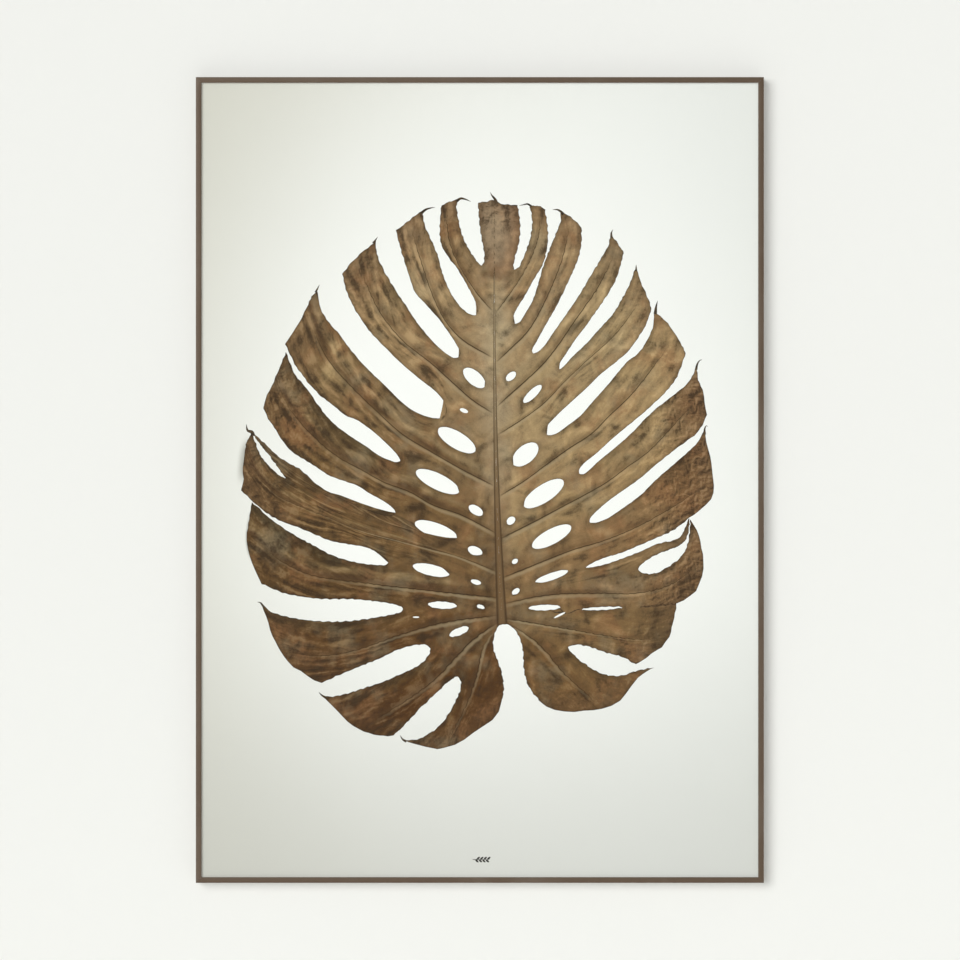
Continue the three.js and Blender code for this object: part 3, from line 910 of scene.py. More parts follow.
# From the midrib out: a centre line with an ellipse opened either side of it at each hole, then the two banks
def seamLines(seam):
    here = np.array([ribPlace(seam["start"]), seam["start"]])
    holes = seam.get("holes", [])
    holeSteps = (0, 24, 16)[len(holes)]
    gapSteps = (leaf["inner"] - holeSteps * len(holes)) // (len(holes) + 1)
    heading, line, gap = None, [], []
    for across, up, length, width, tilt in holes:
        way = np.array([math.cos(math.radians(tilt)), math.sin(math.radians(tilt))])
        centre = np.array([across, up], float)
        way = way if (centre - here) @ way > 0 else -way
        entry = centre - way * length / 2
        line.append(bridge(here, entry, way if heading is None else heading, way, gapSteps + 1)[:-1])
        s = (1 - np.cos(np.linspace(0, math.pi, holeSteps + 1)[:-1])) / 2
        line.append(entry + way * length * s[:, None])
        gap += [np.zeros(gapSteps), width / 2 * np.sqrt(1 - (2 * s - 1) ** 2)]
        here, heading = centre + way * length / 2, way
    route = [np.array(p, float) for p in seam["route"]]
    if len(route) == 1:
        way = unit(route[0] - here)
        line.append(bridge(here, route[0], way if heading is None else heading, way, gapSteps + 1))
    else:
        line.append(flowLine([here] + route, np.linspace(0, 1, gapSteps + 1)))
    base, opening = np.vstack(line), np.concatenate(gap + [np.zeros(gapSteps + 1)])
    run = np.gradient(base, axis=0)
    normal = np.stack([-run[:, 1], run[:, 0]], axis=1) / np.linalg.norm(run, axis=1)[:, None]
    normal *= np.where(normal[:, 1:] < 0, -1, 1)
    fractions = np.linspace(0, 1, leaf["outer"] + 1)[1:] ** 1.25
    above = flowLine([base[-1]] + seam["above"], fractions, seam["below"][0])
    below = flowLine([base[-1]] + seam["below"], fractions, seam["above"][0])
    across = below - above
    wide = np.linalg.norm(across, axis=1)[:, None]
    creep = across / np.maximum(wide, 1e-6) * np.minimum(leaf["spread"], wide * 0.1)
    isOpen = np.concatenate([opening > 0, np.ones(leaf["outer"], bool)])
    lift = normal * opening[:, None]
    return (np.vstack([base + lift, above + creep]), isOpen), (np.vstack([base - lift, below - creep]),
                                                               isOpen)


def lengthShare(line):
    run = np.concatenate([[0], np.cumsum(np.linalg.norm(np.diff(line, axis=0), axis=1))])
    return run / run[-1]


# One lobe as a grid: its columns run from the midrib to the tip and its rows from the upper edge over the
# vein
# to the lower edge. The inside is then settled so that each point is the mean of its four neighbours.
def lobeGrid(upper, lower, vein, end):
    share = (lengthShare(upper) + lengthShare(lower)) / 2
    middle = (upper + lower) / 2 if vein is None else flowLine(vein, share)
    outline = flowLine([upper[-1]] + end + [lower[-1]], np.linspace(0, 1, 200))
    near = np.clip(np.argmin(np.linalg.norm(outline - middle[-1], axis=1)) / 199, 0.12, 0.88)
    v = np.linspace(1, 0, leaf["rows"], endpoint=False)
    weight = (np.clip((share - 0.72) / 0.28, 0, 1) ** 2)[:, None, None]
    halves = []
    for edge, far in ((upper, 0.0), (lower, 1.0)):
        flat = middle[:, None] * (1 - v)[None, :, None] + edge[:, None] * v[None, :, None]
        goal = flowLine([upper[-1]] + end + [lower[-1]], near + (far - near) * v)
        halves.append(flat + (goal - flat[-1])[None] * weight)
    crest = middle[:, None] + (flowLine([upper[-1]] + end + [lower[-1]], [near])[0] - middle[-1]) * weight
    grid = np.concatenate([halves[0], crest, halves[1][:, ::-1]], axis=1)
    rows = leaf["rows"]
    for _ in range(leaf["settle"]):
        mean = (grid[:-2, 1:-1] + grid[2:, 1:-1] + grid[1:-1, :-2] + grid[1:-1, 2:]) / 4
        held = grid[1:-1, rows].copy()
        grid[1:-1, 1:-1] = mean
        grid[1:-1, rows] = held
    return grid


# Soft patches of ink laid one after another over the colour at these points, in screen colour 0 to 255
def layPatches(points, colour, patches):
    for across, up, reachAcross, reachUp, tilt, strength, ink in patches:
        d = points - (across, up)
        c, s = math.cos(math.radians(tilt)), math.sin(math.radians(tilt))
        u = (d[..., 0] * c + d[..., 1] * s) / reachAcross
        w = (d[..., 1] * c - d[..., 0] * s) / reachUp
        amount = strength * np.exp(-(u * u + w * w))[..., None]
        colour = colour + (np.array(ink) - colour) * amount
    return colour


# The dried edge is uneven: waves 5 to 15 mm long push every point about, hardly near the middle and more
# outside
def uneven(points):
    x, z = points[..., 0], points[..., 1]
    reach = 0.12 + 0.7 * smooth(np.hypot(x - 20, z - 40), 130, 290)
    across = np.sin(0.62 * z + 1.9 * np.sin(0.21 * x)) + 0.6 * np.sin(1.15 * z - 0.4 * x + 1.0)
    up = np.sin(0.58 * x + 1.7 * np.sin(0.19 * z)) + 0.6 * np.sin(1.22 * x + 0.5 * z)
    return points + np.stack([across * reach * 0.6, up * reach * 0.6], axis=-1)


# Colour and places of one lobe's points. Beside a closed seam everything fades to the overall tone.
def lobeLook(name, grid, upperOpen, lowerOpen):
    tone, rows = leafTones[name], leaf["rows"]
    step = np.linalg.norm(np.diff(grid, axis=1), axis=2)
    across = np.concatenate([np.zeros((len(grid), 1)), np.cumsum(step, axis=1)], axis=1)
    across = across[:, rows:rows + 1] - across
    upperHalf, lowerHalf = across[:, :1], -across[:, -1:]
    along = np.concatenate([[0], np.cumsum(np.linalg.norm(np.diff(grid[:, rows], axis=0), axis=1))])[:, None]
    progress = np.broadcast_to(along / along[-1], across.shape)
    fade = np.where(upperOpen[:, None], 1, smooth(upperHalf - across, 0, 12))
    fade = fade * np.where(lowerOpen[:, None], 1, smooth(across + lowerHalf, 0, 12))
    fade = fade * smooth(along, 0, 25)
    edges = np.vstack([grid[upperOpen, 0], grid[lowerOpen, -1], grid[-1]])
    rim = np.linalg.norm(grid.reshape(-1, 1, 2) - edges[None], axis=2).min(axis=1).reshape(across.shape)
    overall = layPatches(grid, np.zeros((*grid.shape[:-1], 3)) + leafPatches[0][6], leafPatches[1:])
    colour = overall + (np.array(tone["ink"]) - overall) * 0.75 * fade[..., None]
    band = tone["band"] * smooth(across, 0, 2) * smooth(across, 11, 4) * smooth(progress, 0.08, 0.3)
    glow = 0.5 * tone["band"] * smooth(across, 7, 13) * smooth(across, 22, 15)
    bank = tone["bank"] * smooth(across / np.maximum(upperHalf, 1), 0.45, 0.95) * smooth(progress, 0.3, 0.55)
    tip = tone["tip"] * smooth(progress, 0.72, 1.0)
    for amount, ink in ((glow, (158, 142, 116)), (bank, (74, 64, 44)), (band, (84, 62, 40)),
                        (tip, (88, 66, 50))):
        colour += (np.array(ink) - colour) * (amount * fade)[..., None]
    colour = layPatches(grid, colour, leafMarks)
    crease = tone["crease"] * smooth(progress, 0.5, 0.95)
    vein = smooth(progress, 0.98, 0.8) * smooth(along, 0,
                                                8) * (0.0 if "Strip" in name or name == "top" else 1.0)
    rib = np.abs(grid[..., 0] - ribPlace(grid[..., 1]))
    aboveFoot = np.maximum(leaf["foot"] - grid[..., 1], 0)
    return {
        "points": grid,
        "ink": colour * leaf["strength"],
        "leafRoute": np.stack([np.broadcast_to(along, across.shape) * mm, across * mm, progress], -1),
        "leafShape": np.stack([fade, crease, vein * fade ** 0.5], -1),
        "leafEdge": np.stack([rim * mm, np.hypot(rib, aboveFoot) * mm, ribHalf(grid[..., 1]) * mm], -1),
    }


def leafLobes():
    lines = {name: seamLines(seam) for name, seam in leafSeams.items()}
    allOpen = np.ones(leaf["inner"] + leaf["outer"] + 1, bool)
    footPoint = (ribPlace(leaf["foot"]), leaf["foot"] + 1)
    lobes = []
    for name, upper, lower in leafOrder:
        topLine, topOpen = lines[upper][0 if name == "top" else 1]
        if lower:
            lowLine, lowOpen = lines[lower][0]
        else:
            lowLine, lowOpen = flowLine([footPoint] + leafNotch[name], np.linspace(0, 1,
                len(allOpen))), allOpen
        vein = leafVeins.get(name)
        if vein:
            vein = [(ribPlace(vein[0]), vein[0])] + vein[1:]
        grid = uneven(lobeGrid(topLine, lowLine, vein, leafEnds.get(name, [])))
        lobes.append(lobeLook(name, grid, topOpen, lowOpen))
    return lobes


# The ink's fine look: soft mottling, folds along the lobes and crumpled tips lit from the upper left, then
# the
# veins, the dark rims and the midrib. Shade is 1 where the ink keeps its own colour.
def makeLeafInk():
    made, tree, shader = newMaterial("driedLeafInk", **{"Specular IOR Level": 0.15})
    place = objectPlace(tree)
    ink = addNode(tree, "ShaderNodeAttribute", attribute_name="ink").outputs["Color"]
    route = addNode(tree, "ShaderNodeAttribute", attribute_name="leafRoute").outputs["Vector"]
    shapeNode = addNode(tree, "ShaderNodeAttribute", attribute_name="leafShape").outputs["Vector"]
    edgeNode = addNode(tree, "ShaderNodeAttribute", attribute_name="leafEdge").outputs["Vector"]
    across, progress = addNode(tree, "ShaderNodeSeparateXYZ", {"Vector": route}).outputs[1:]
    fade, crease, vein = addNode(tree, "ShaderNodeSeparateXYZ", {"Vector": shapeNode}).outputs[:]
    rim, rib, ribHalfWidth = addNode(tree, "ShaderNodeSeparateXYZ", {"Vector": edgeNode}).outputs[:]
    sideways, _, height = addNode(tree, "ShaderNodeSeparateXYZ", {"Vector": place}).outputs[:]

    def relief(vector, scale, shift, detail, distortion, strength):
        low = cloud(tree, vector, scale, detail, 0.55, distortion)
        high = cloud(tree, stretched(tree, vector, (1.0, 1.0, 1.0), shift), scale, detail, 0.55, distortion)
        return calc(tree, "MULTIPLY", calc(tree, "SUBTRACT", low, high), strength)

    def centred(vector, scale, detail, roughness, distortion, strength):
        tone = cloud(tree, vector, scale, detail, roughness, distortion)
        return calc(tree, "MULTIPLY", calc(tree, "SUBTRACT", tone, 0.5), strength)

    def total(*values):
        whole = values[0]
        for value in values[1:]:
            whole = calc(tree, "ADD", whole, value)
        return whole

    outer = calc(tree, "MULTIPLY", fade, ramp(tree, progress, 0.12, 0.5, 0.25, 1.0))
    outer = calc(tree, "MULTIPLY", outer, ramp(tree, sideways, -0.12, 0.08, 1.0, 0.5))
    wide = stretched(tree, route, (12.0, 34.0, 0.0))
    narrow = stretched(tree, route, (40.0, 150.0, 0.0))
    folds = total(relief(wide, 1.0, (0.1, 0.22, 0.0), 4.0, 1.2, 2.6), centred(wide, 1.3, 4.0, 0.6, 0.8, 0.35),
                  relief(narrow, 1.0, (0.05, 0.3, 0.0), 2.0, 0.6, 0.35),
                  centred(narrow, 1.0, 4.0, 0.65, 0.4, 0.14))
    soft = total(centred(place, 19.0, 4.0, 0.55, 0.4, 0.45), centred(place, 75.0, 5.0, 0.65, 0.2, 0.4),
                 relief(place, 32.0, (0.006, 0.0, -0.006), 3.0, 0.6, 1.5),
                 centred(place, 700.0, 3.0, 0.7, 0.0, 0.5))
    crumple = total(relief(place, 125.0, (0.0018, 0.0, -0.0018), 3.0, 1.1, 1.9),
                    relief(place, 55.0, (0.004, 0.0, -0.004), 2.0, 0.8, 1.1))
    shade = calc(tree, "MULTIPLY_ADD", crumple, crease, calc(tree, "ADD", soft, 1.0))
    shade = calc(tree, "MULTIPLY_ADD", folds, outer, shade)
    shade = calc(tree, "MINIMUM", calc(tree, "MAXIMUM", shade, 0.4), 1.7)
    upperPart = ramp(tree, height, -0.12, 0.1, 0.2, 1.0)
    beside = calc(tree, "MULTIPLY", ramp(tree, rib, 0.004, 0.034, 0.45, 0.0), upperPart)
    beside = calc(tree, "MULTIPLY", beside, ramp(tree, cloud(tree, place, 28.0, 4.0, 0.6), 0.3, 0.62))
    warm = ramp(tree, cloud(tree, place, 24.0, 5.0, 0.62, 0.3), 0.48, 0.68, 0.0, 0.5)
    cool = ramp(tree, cloud(tree, stretched(tree, place, (1.0, 1.0, 1.0), (3.0, 0.0, 1.0)), 20.0, 4.0, 0.6),
                0.5, 0.7, 0.0, 0.3)
    colour = tint(tree, warm, ink, srgb(132, 92, 58), "MIX")
    colour = tint(tree, cool, colour, srgb(134, 124, 100), "MIX")
    colour = tint(tree, beside, colour, srgb(170, 152, 124))
    colour = brighten(tree, colour, shade)
    colour = tint(tree, ramp(tree, shade, 0.95, 0.5, 0.0, 0.55), colour, srgb(62, 44, 22))
    glint = tint(tree, 0.25, brighten(tree, ink, 1.7), srgb(178, 160, 128))
    colour = tint(tree, ramp(tree, shade, 1.1, 1.6, 0.0, 0.6), colour, glint)
    # A vein narrows towards the lobe's tip. Its shadow lies below it and its lit side above.
    veinReach = calc(tree, "MULTIPLY_ADD", progress, -0.0009, 0.0016)
    fromVein = calc(tree, "DIVIDE", calc(tree, "ABSOLUTE", across), veinReach)
    veinDark = calc(tree, "MULTIPLY", ramp(tree, fromVein, 0.1, 1.0, 0.95, 0.0), vein)
    fromShadow = calc(tree, "ABSOLUTE", calc(tree, "ADD", across, -0.0022))
    veinShadow = calc(tree, "MULTIPLY", ramp(tree, fromShadow, 0.0, 0.005, 0.4, 0.0), vein)
    fromLight = calc(tree, "ABSOLUTE", calc(tree, "ADD", across, 0.0034))
    litVein = calc(tree, "MULTIPLY", vein, ramp(tree, progress, 0.15, 0.75, 1.0, 0.25))
    veinLight = calc(tree, "MULTIPLY", ramp(tree, fromLight, 0.0, 0.0042, 0.5, 0.0), litVein)
    colour = tint(tree, veinShadow, colour, srgb(78, 56, 32))
    colour = tint(tree, veinLight, colour, srgb(166, 148, 116))
    colour = tint(tree, veinDark, colour, srgb(52, 36, 16))
    share = calc(tree, "DIVIDE", rib, ribHalfWidth)
    ribMiddle = tint(tree, ramp(tree, height, -0.08, 0.2), srgb(112, 86, 56), srgb(142, 124, 96))
    ribInk = tint(tree, ramp(tree, share, 0.35, 0.9), ribMiddle, srgb(68, 48, 26))
    colour = tint(tree, ramp(tree, share, 0.9, 1.25, 0.9, 0.0), colour, ribInk)
    ragged = calc(tree, "MULTIPLY_ADD", cloud(tree, place, 320.0, 2.0), 0.0012, rim)
    colour = tint(tree, ramp(tree, ragged, 0.0006, 0.0070, 0.3, 0.0), colour, srgb(70, 50, 30))
    colour = tint(tree, ramp(tree, ragged, 0.0006, 0.0018, 0.75, 0.0), colour, srgb(44, 32, 18))
    plug(tree, shader["Base Color"], colour)
    tooth = useGroup(tree, toothGroup, Place=place)
    plug(tree, shader["Roughness"], calc(tree, "MULTIPLY_ADD", tooth["Fibre"], 0.15, 0.65))
    plug(tree, shader["Normal"], bump(tree, tooth["Height"], 0.02, 0.05 * mm))
    return made


# The sheet's plane, in millimetres from the frame's middle
def printPlane():
    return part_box("print_sheet")[0].y / mm + paper["behind"]


def asPoints(flat, depth):
    return np.insert(np.asarray(flat, float), 1, depth, axis=-1)


# Gives a film of ink its thickness, away from the viewer
def thicken(piece, thickness):
    piece.data.shade_flat()
    film = piece.modifiers.new("film", "SOLIDIFY")
    film.thickness = thickness * mm
    film.offset = -1.0


def makeLeafPrint():
    lobes = leafLobes()
    count, width = lobes[0]["points"].shape[:2]
    quads = gridFaces(count, width)
    faces, offset = [], 0
    for lobe in lobes:
        a, b, c = lobe["points"].reshape(-1, 2)[quads[:, :3]].transpose(1, 0, 2)
        area = ((b - a)[:, 0] * (c - a)[:, 1] - (b - a)[:, 1] * (c - a)[:, 0]).sum()
        faces.append((quads if area > 0 else quads[:, ::-1]) + offset)
        offset += count * width
    faces = np.vstack(faces)
    flat = {}
    for key in lobes[0]:
        flat[key] = np.concatenate([lobe[key].reshape(-1, lobe[key].shape[-1]) for lobe in lobes])
    places = np.round(flat["points"] / 0.02)
    first, joined = np.unique(places, axis=0, return_index=True, return_inverse=True)[1:]
    welded = joined.reshape(-1)[faces]
    # A face whose neighbouring corners met in welding keeps one of the two.
    fresh = welded != np.roll(welded, 1, axis=1)
    whole = np.sort(np.where(fresh, welded, -1 - np.arange(4)), axis=1)
    sound = (fresh.sum(axis=1) > 2) & (np.diff(whole, axis=1) > 0).all(axis=1)
    fresh &= sound[:, None]
    corners = {key: flat[key][faces[fresh]] for key in ("leafRoute", "leafShape", "leafEdge")}
    faces = [row[kept].tolist() for row, kept in zip(welded[sound], fresh[sound])]
    points = asPoints(flat["points"][first], printPlane() - leaf["front"])
    piece = finishMesh("leafPrint", points, faces, makeLeafInk(), corners, (0, -1, 0))
    ink = piece.data.attributes.new("ink", "FLOAT_COLOR", "POINT")
    part = np.clip(flat["ink"][first], 0, 255) / 255
    linear = np.where(part <= 0.04045, part / 12.92, ((part + 0.055) / 1.055) ** 2.4)
    ink.data.foreach_set("color", np.insert(linear, 3, 1.0, axis=1).ravel())
    thicken(piece, leaf["film"])
    print("leaf print made,", len(piece.data.polygons), "faces")


# Flat printed shapes laid over the leaf, each a curve with a half width at every point of it, all in one
# piece
def layShapes(name, shapes, material, lift):
    flat = []
    for line, half in shapes:
        run = np.gradient(line, axis=0)
        normal = np.stack([-run[:, 1], run[:, 0]], axis=1) / np.linalg.norm(run, axis=1)[:, None]
        side = normal * half[:, None]
        flat.append(np.stack([line - side, line, line + side], axis=1))
    count = len(flat[0])
    faces = np.vstack([gridFaces(count, 3) + 3 * count * k for k in range(len(flat))])
    across = np.broadcast_to(np.array([0.0, 0.5, 1.0]), (len(flat), count, 3))
    along = np.broadcast_to(np.linspace(0, 1, count)[None, :, None], across.shape)
    place = np.stack([along, across, across * 0], axis=-1).reshape(-1, 3)
    points = asPoints(np.stack(flat).reshape(-1, 2), printPlane() - lift)
    piece = finishMesh(name, points, faces, material, {"shapePlace": place[faces.ravel()]}, (0, -1, 0))
    thicken(piece, leaf["film"])
    return piece


# Lines on the sheet in millimetres. torn: width and points of the dark lines of the torn flap. flecks: ends
# and
# width of the small holes through which the sheet shows. cast: the leaf's edge, and the reach of its soft
# shadow.
marks = {
    "torn": [
        (1.6, [(90, -164), (95, -166), (101, -166), (108, -168)]),
        (1.2, [(99, -160), (102, -163), (105, -166), (109, -168)]),
        (1.0, [(109, -168), (115, -166), (121, -163), (127, -162)]),
    ],
    "flecks": [
        ([(-25, 89), (-15, 85)], 5.0),
        ([(-84, -172), (-76, -172)], 2.0),
        ([(93, -173), (107, -166)], 2.5),
    ],
    "cast": [
        ([(-287, 58), (-292, 48), (-296, 32), (-298, 14), (-299, -10)], 8.5),
        ([(-287, -34), (-290, -54), (-292, -72), (-290, -90), (-284, -108)], 3.5),
    ],
    "steps": 25,
}


# A dark curled tip at the end of a lobe narrows from the lobe to a point.
def makeTips():
    made, tree, shader = newMaterial("curledTipInk", **{"Specular IOR Level": 0.15})
    place = objectPlace(tree)
    tone = tint(tree, ramp(tree, cloud(tree, place, 300.0, 3.0), 0.35, 0.65), srgb(36, 28, 20),
                srgb(84, 66, 46))
    plug(tree, shader["Base Color"], tone)
    fibre = useGroup(tree, toothGroup, Place=place)["Fibre"]
    plug(tree, shader["Roughness"], calc(tree, "MULTIPLY_ADD", fibre, 0.15, 0.65))
    s = np.linspace(0, 1, marks["steps"])
    narrowing = 1 - s ** 1.3
    bow = np.sin(math.pi * s)
    shapes = [(flowLine(points, s), width / 2 * narrowing + 0.12) for width, points in leafHooks]
    shapes += [(flowLine(points, s), width / 2 * bow + 0.1) for width, points in marks["torn"]]
    layShapes("leafTips", shapes, made, leaf["front"] + 0.01)
    print("leaf tips made")


def makeFlecks():
    made, tree, shader = newMaterial("sheetThroughHole", **{"Specular IOR Level": 0.2})
    place = objectPlace(tree)
    plug(tree, shader["Base Color"], useGroup(tree, sheetGroup, Place=place)["Color"])
    fibre = useGroup(tree, toothGroup, Place=place)["Fibre"]
    plug(tree, shader["Roughness"], calc(tree, "MULTIPLY_ADD", fibre, 0.1, 0.8))
    s = (1 - np.cos(np.linspace(0, math.pi, marks["steps"]))) / 2
    shapes = [(flowLine(ends, s), width * np.sqrt(s * (1 - s)) + 0.02) for ends, width in marks["flecks"]]
    layShapes("leafFlecks", shapes, made, leaf["front"] + 0.02)
    print("flecks made")


# The shadow printed beside the leaf, darkest at its edge and gone at the ribbon's outer side and both its
# ends
def makeCastShadow():
    made, tree, shader = newMaterial("printedShadow", **{"Specular IOR Level": 0.2})
    place = objectPlace(tree)
    shapePlace = addNode(tree, "ShaderNodeAttribute", attribute_name="shapePlace").outputs["Vector"]
    along, across = addNode(tree, "ShaderNodeSeparateXYZ", {"Vector": shapePlace}).outputs[:2]
    fromMiddle = calc(tree, "ABSOLUTE", calc(tree, "SUBTRACT", along, 0.5))
    amount = calc(tree, "MULTIPLY", ramp(tree, fromMiddle, 0.5, 0.15), ramp(tree, across, 1.0, 0.4, 0.0, 0.6))
    sheetColour = useGroup(tree, sheetGroup, Place=place)["Color"]
    plug(tree, shader["Base Color"], tint(tree, amount, sheetColour, srgb(120, 114, 98)))
    fibre = useGroup(tree, toothGroup, Place=place)["Fibre"]
    plug(tree, shader["Roughness"], calc(tree, "MULTIPLY_ADD", fibre, 0.1, 0.8))
    s = np.linspace(0, 1, marks["steps"])
    shapes = [(flowLine(points, s), np.full(len(s), -reach)) for points, reach in marks["cast"]]
    layShapes("leafCastShadow", shapes, made, 0.025)
    print("printed shadow made")


# A plain sprig stands at the foot of the sheet: a stem, and pointed leaves as wide as a parabola over their
# length
sprig = {"middle": (2.0, -476.0), "length": 22.0, "pairs": 4, "leafLength": 5.6, "leafWidth": 2.3,
         "stem": 0.8}


def makeSprig():
    made, tree, shader = newMaterial("sprigInk", **{"Specular IOR Level": 0.15})
    tone = cloud(tree, objectPlace(tree), 900.0, 2.0)
    plug(tree, shader["Base Color"], tint(tree, ramp(tree, tone, 0.4, 0.6), srgb(24, 23, 20),
                                          srgb(40, 37, 32)))
    plug(tree, shader["Roughness"], calc(tree, "MULTIPLY_ADD", tone, 0.2, 0.6))
    middle, length = np.array(sprig["middle"]), sprig["length"]
    s = np.linspace(0, 1, marks["steps"])
    shapes = [(middle + np.outer(s - 0.5, (length, 0)), sprig["stem"] / 2 * (1 - 0.7 * s))]
    for index in range(sprig["pairs"] * 2):
        up = 1 if index % 2 else -1
        foot = middle + ((-0.36 + 0.2 * (index // 2) + (0.08 if up > 0 else 0)) * length, 0)
        way = np.array([math.cos(math.radians(38)), up * math.sin(math.radians(38))])
        shapes.append((foot + np.outer(s * sprig["leafLength"], way),
                       sprig["leafWidth"] * 2 * s * (1 - s) + 0.02))
    layShapes("footSprig", shapes, made, leaf["front"])
    print("sprig made")


# The hardboard back: a smooth brown face with fibres, pale chips and faint roller marks
board = {"ease": 0.3, "corner": 1.5, "colour": srgb(122, 92, 62), "dark": srgb(84, 60, 38),
         "pale": srgb(150, 120, 86)}


def makeBoard():
    made, tree, shader = newMaterial("brownHardboard", **{"Specular IOR Level": 0.25})
    place = objectPlace(tree)
    fibre = cloud(tree, stretched(tree, place, (1.0, 1.0, 2.4)), 520.0, 5.0, 0.75, 0.6)
    chips = ramp(tree, cloud(tree, place, 210.0, 3.0, 0.6, 0.8), 0.58, 0.7, 0.0, 0.6)
    cloudy = cloud(tree, place, 8.0, 4.0)
    colour = tint(tree, ramp(tree, fibre, 0.35, 0.65), board["dark"], board["colour"])
    colour = tint(tree, chips, colour, board["pale"])
    colour = brighten(tree, colour, calc(tree, "MULTIPLY_ADD", cloudy, 0.3, 0.85))
    dust = useGroup(tree, dustGroup, Place=place, Amount=0.35)["Mask"]
    plug(tree, shader["Base Color"], tint(tree, dust, colour, srgb(168, 158, 140)))
    plug(tree, shader["Roughness"], calc(tree, "MULTIPLY_ADD", fibre, 0.25, 0.55))
    plug(tree, shader["Normal"], bump(tree, fibre, 0.25, 0.1 * mm))
    piece = slabMesh("hardboardBack", "backing_board", made, board["ease"], board["corner"])
    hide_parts("backing_board")
    print("board made")


# Bright zinc plate with a drawn grain, and the darker blue-grey of tempered spring steel
def makeSteel(name, bright, dull, roughness, fineness):
    made, tree, shader = newMaterial(name, Metallic=1.0)
    place = objectPlace(tree)
    grain = useGroup(tree, grainGroup, Place=place, Fineness=fineness, Stretch=12.0)
    bloom = ramp(tree, cloud(tree, place, 90.0, 5.0, 0.65, 0.5), 0.4, 0.7)
    colour = tint(tree, bloom, bright, dull)
    colour = brighten(tree, colour, calc(tree, "MULTIPLY_ADD", grain["Grain"], 0.3, 0.85))
    dust = useGroup(tree, dustGroup, Place=place, Amount=0.2)["Mask"]
    plug(tree, shader["Base Color"], tint(tree, dust, colour, srgb(140, 134, 124)))
    rough = calc(tree, "MULTIPLY_ADD", bloom, 0.14, calc(tree, "MULTIPLY_ADD", grain["Grain"], 0.2,
                                                         roughness - 0.1))
    plug(tree, shader["Roughness"], calc(tree, "MULTIPLY_ADD", dust, 0.6, rough))
    plug(tree, shader["Normal"], bump(tree, grain["Grain"], 0.1, 0.04 * mm))
    return made


# A copy of a CAD piece with its triangles merged to flat faces and its edges eased
def easedCopy(node, ease, material):
    words = node.split("_")
    name = words[0] + "".join(word.title() for word in words[1:])
    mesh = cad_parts[node].data.copy()
    mesh.name = name
    work = bmesh.new()
    work.from_mesh(mesh)
    bmesh.ops.remove_doubles(work, verts=work.verts, dist=0.002 * mm)
    bmesh.ops.dissolve_limit(work, angle_limit=math.radians(0.5), verts=work.verts, edges=work.edges)
    work.to_mesh(mesh)
    work.free()
    mesh.materials.clear()
    mesh.materials.append(material)
    mesh.shade_smooth()
    mesh.set_sharp_from_angle(angle=math.radians(32))
    piece = bpy.data.objects.new(name, mesh)
    bpy.context.scene.collection.objects.link(piece)
    edge = piece.modifiers.new("easedEdges", "BEVEL")
    edge.width = ease * mm
    edge.segments = 2
    edge.limit_method = "ANGLE"
    edge.angle_limit = math.radians(40)
    edge.harden_normals = True
    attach(piece, "root")
    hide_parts(node)
    return piece


# A bowed strip: a flat section carried along an arc that touches the board at its middle and the ledge at its
# ends, with the strip's corners rounded off
clip = {"thickness": 0.5, "ease": 0.15, "cornerRound": 4.0, "stations": 65}


def makeClip(node, material):
    low, high = [np.array(v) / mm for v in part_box(node)]
    size, middle = high - low, (high + low) / 2
    lengthAxis = 2 if size[2] > size[0] else 0
    widthAxis = 2 - lengthAxis
    length, width = size[lengthAxis], size[widthAxis]
    rise = size[1] - clip["thickness"]
    radius = (length * length / 4 + rise * rise) / (2 * rise)
    limit = math.asin(length / 2 / radius)
    t = np.linspace(-1, 1, clip["stations"])
    t = np.sin(t * math.pi / 2)
    fromEnd = (1 - np.abs(t)) * length / 2
    cut = np.clip(1 - fromEnd / clip["cornerRound"], 0, 1)
    half = width / 2 - clip["cornerRound"] * (1 - np.sqrt(1 - cut * cut))
    thick = clip["thickness"]
    section = roundedCorners([(-1, 0), (1, 0), (1, thick), (-1, thick)], clip["ease"], 3)
    angle = (t * limit)[:, None]
    ring = np.zeros((len(t), len(section), 3))
    ring[..., lengthAxis] = middle[lengthAxis] + (radius - section[:, 1]) * np.sin(angle)
    ring[..., widthAxis] = middle[widthAxis] + section[:, 0] * half[:, None]
    ring[..., 1] = low[1] + radius - (radius - section[:, 1]) * np.cos(angle)
    words = node.split("_")
    piece = sweptMesh(words[0] + "".join(word.title() for word in words[1:]), ring, material)
    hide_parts(node)


# A moulded stud turned about its own axis: a flat front, a soft shoulder and a slightly dished rear
bumper = {"shoulder": 0.9, "dish": 0.25, "dishRadius": 3.4, "around": 72}


def makeBumper(node, material):
    low, high = [np.array(v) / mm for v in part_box(node)]
    middle, radius, height = (low + high) / 2, (high[0] - low[0]) / 2, high[1] - low[1]
    t = np.linspace(0, math.pi / 2, 8)
    shoulder, dish = bumper["shoulder"], bumper["dish"]
    r = np.concatenate([[radius - 0.25, radius], radius - shoulder + shoulder * np.cos(t),
                        [bumper["dishRadius"], bumper["dishRadius"] - 0.5, 0.6]])
    y = np.concatenate([[0, 0.25], height - shoulder + shoulder * np.sin(t), [height, height - dish,
        height - dish]])
    a = np.linspace(0, 2 * math.pi, bumper["around"], endpoint=False)
    grid = np.stack([middle[0] + r[:, None] * np.cos(a), np.broadcast_to(low[1] + y[:, None],
        (len(r), len(a))),
                     middle[2] + r[:, None] * np.sin(a)], axis=-1)
    words = node.split("_")
    piece = sweptMesh(words[0] + words[1].title(), grid, material)
    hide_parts(node)


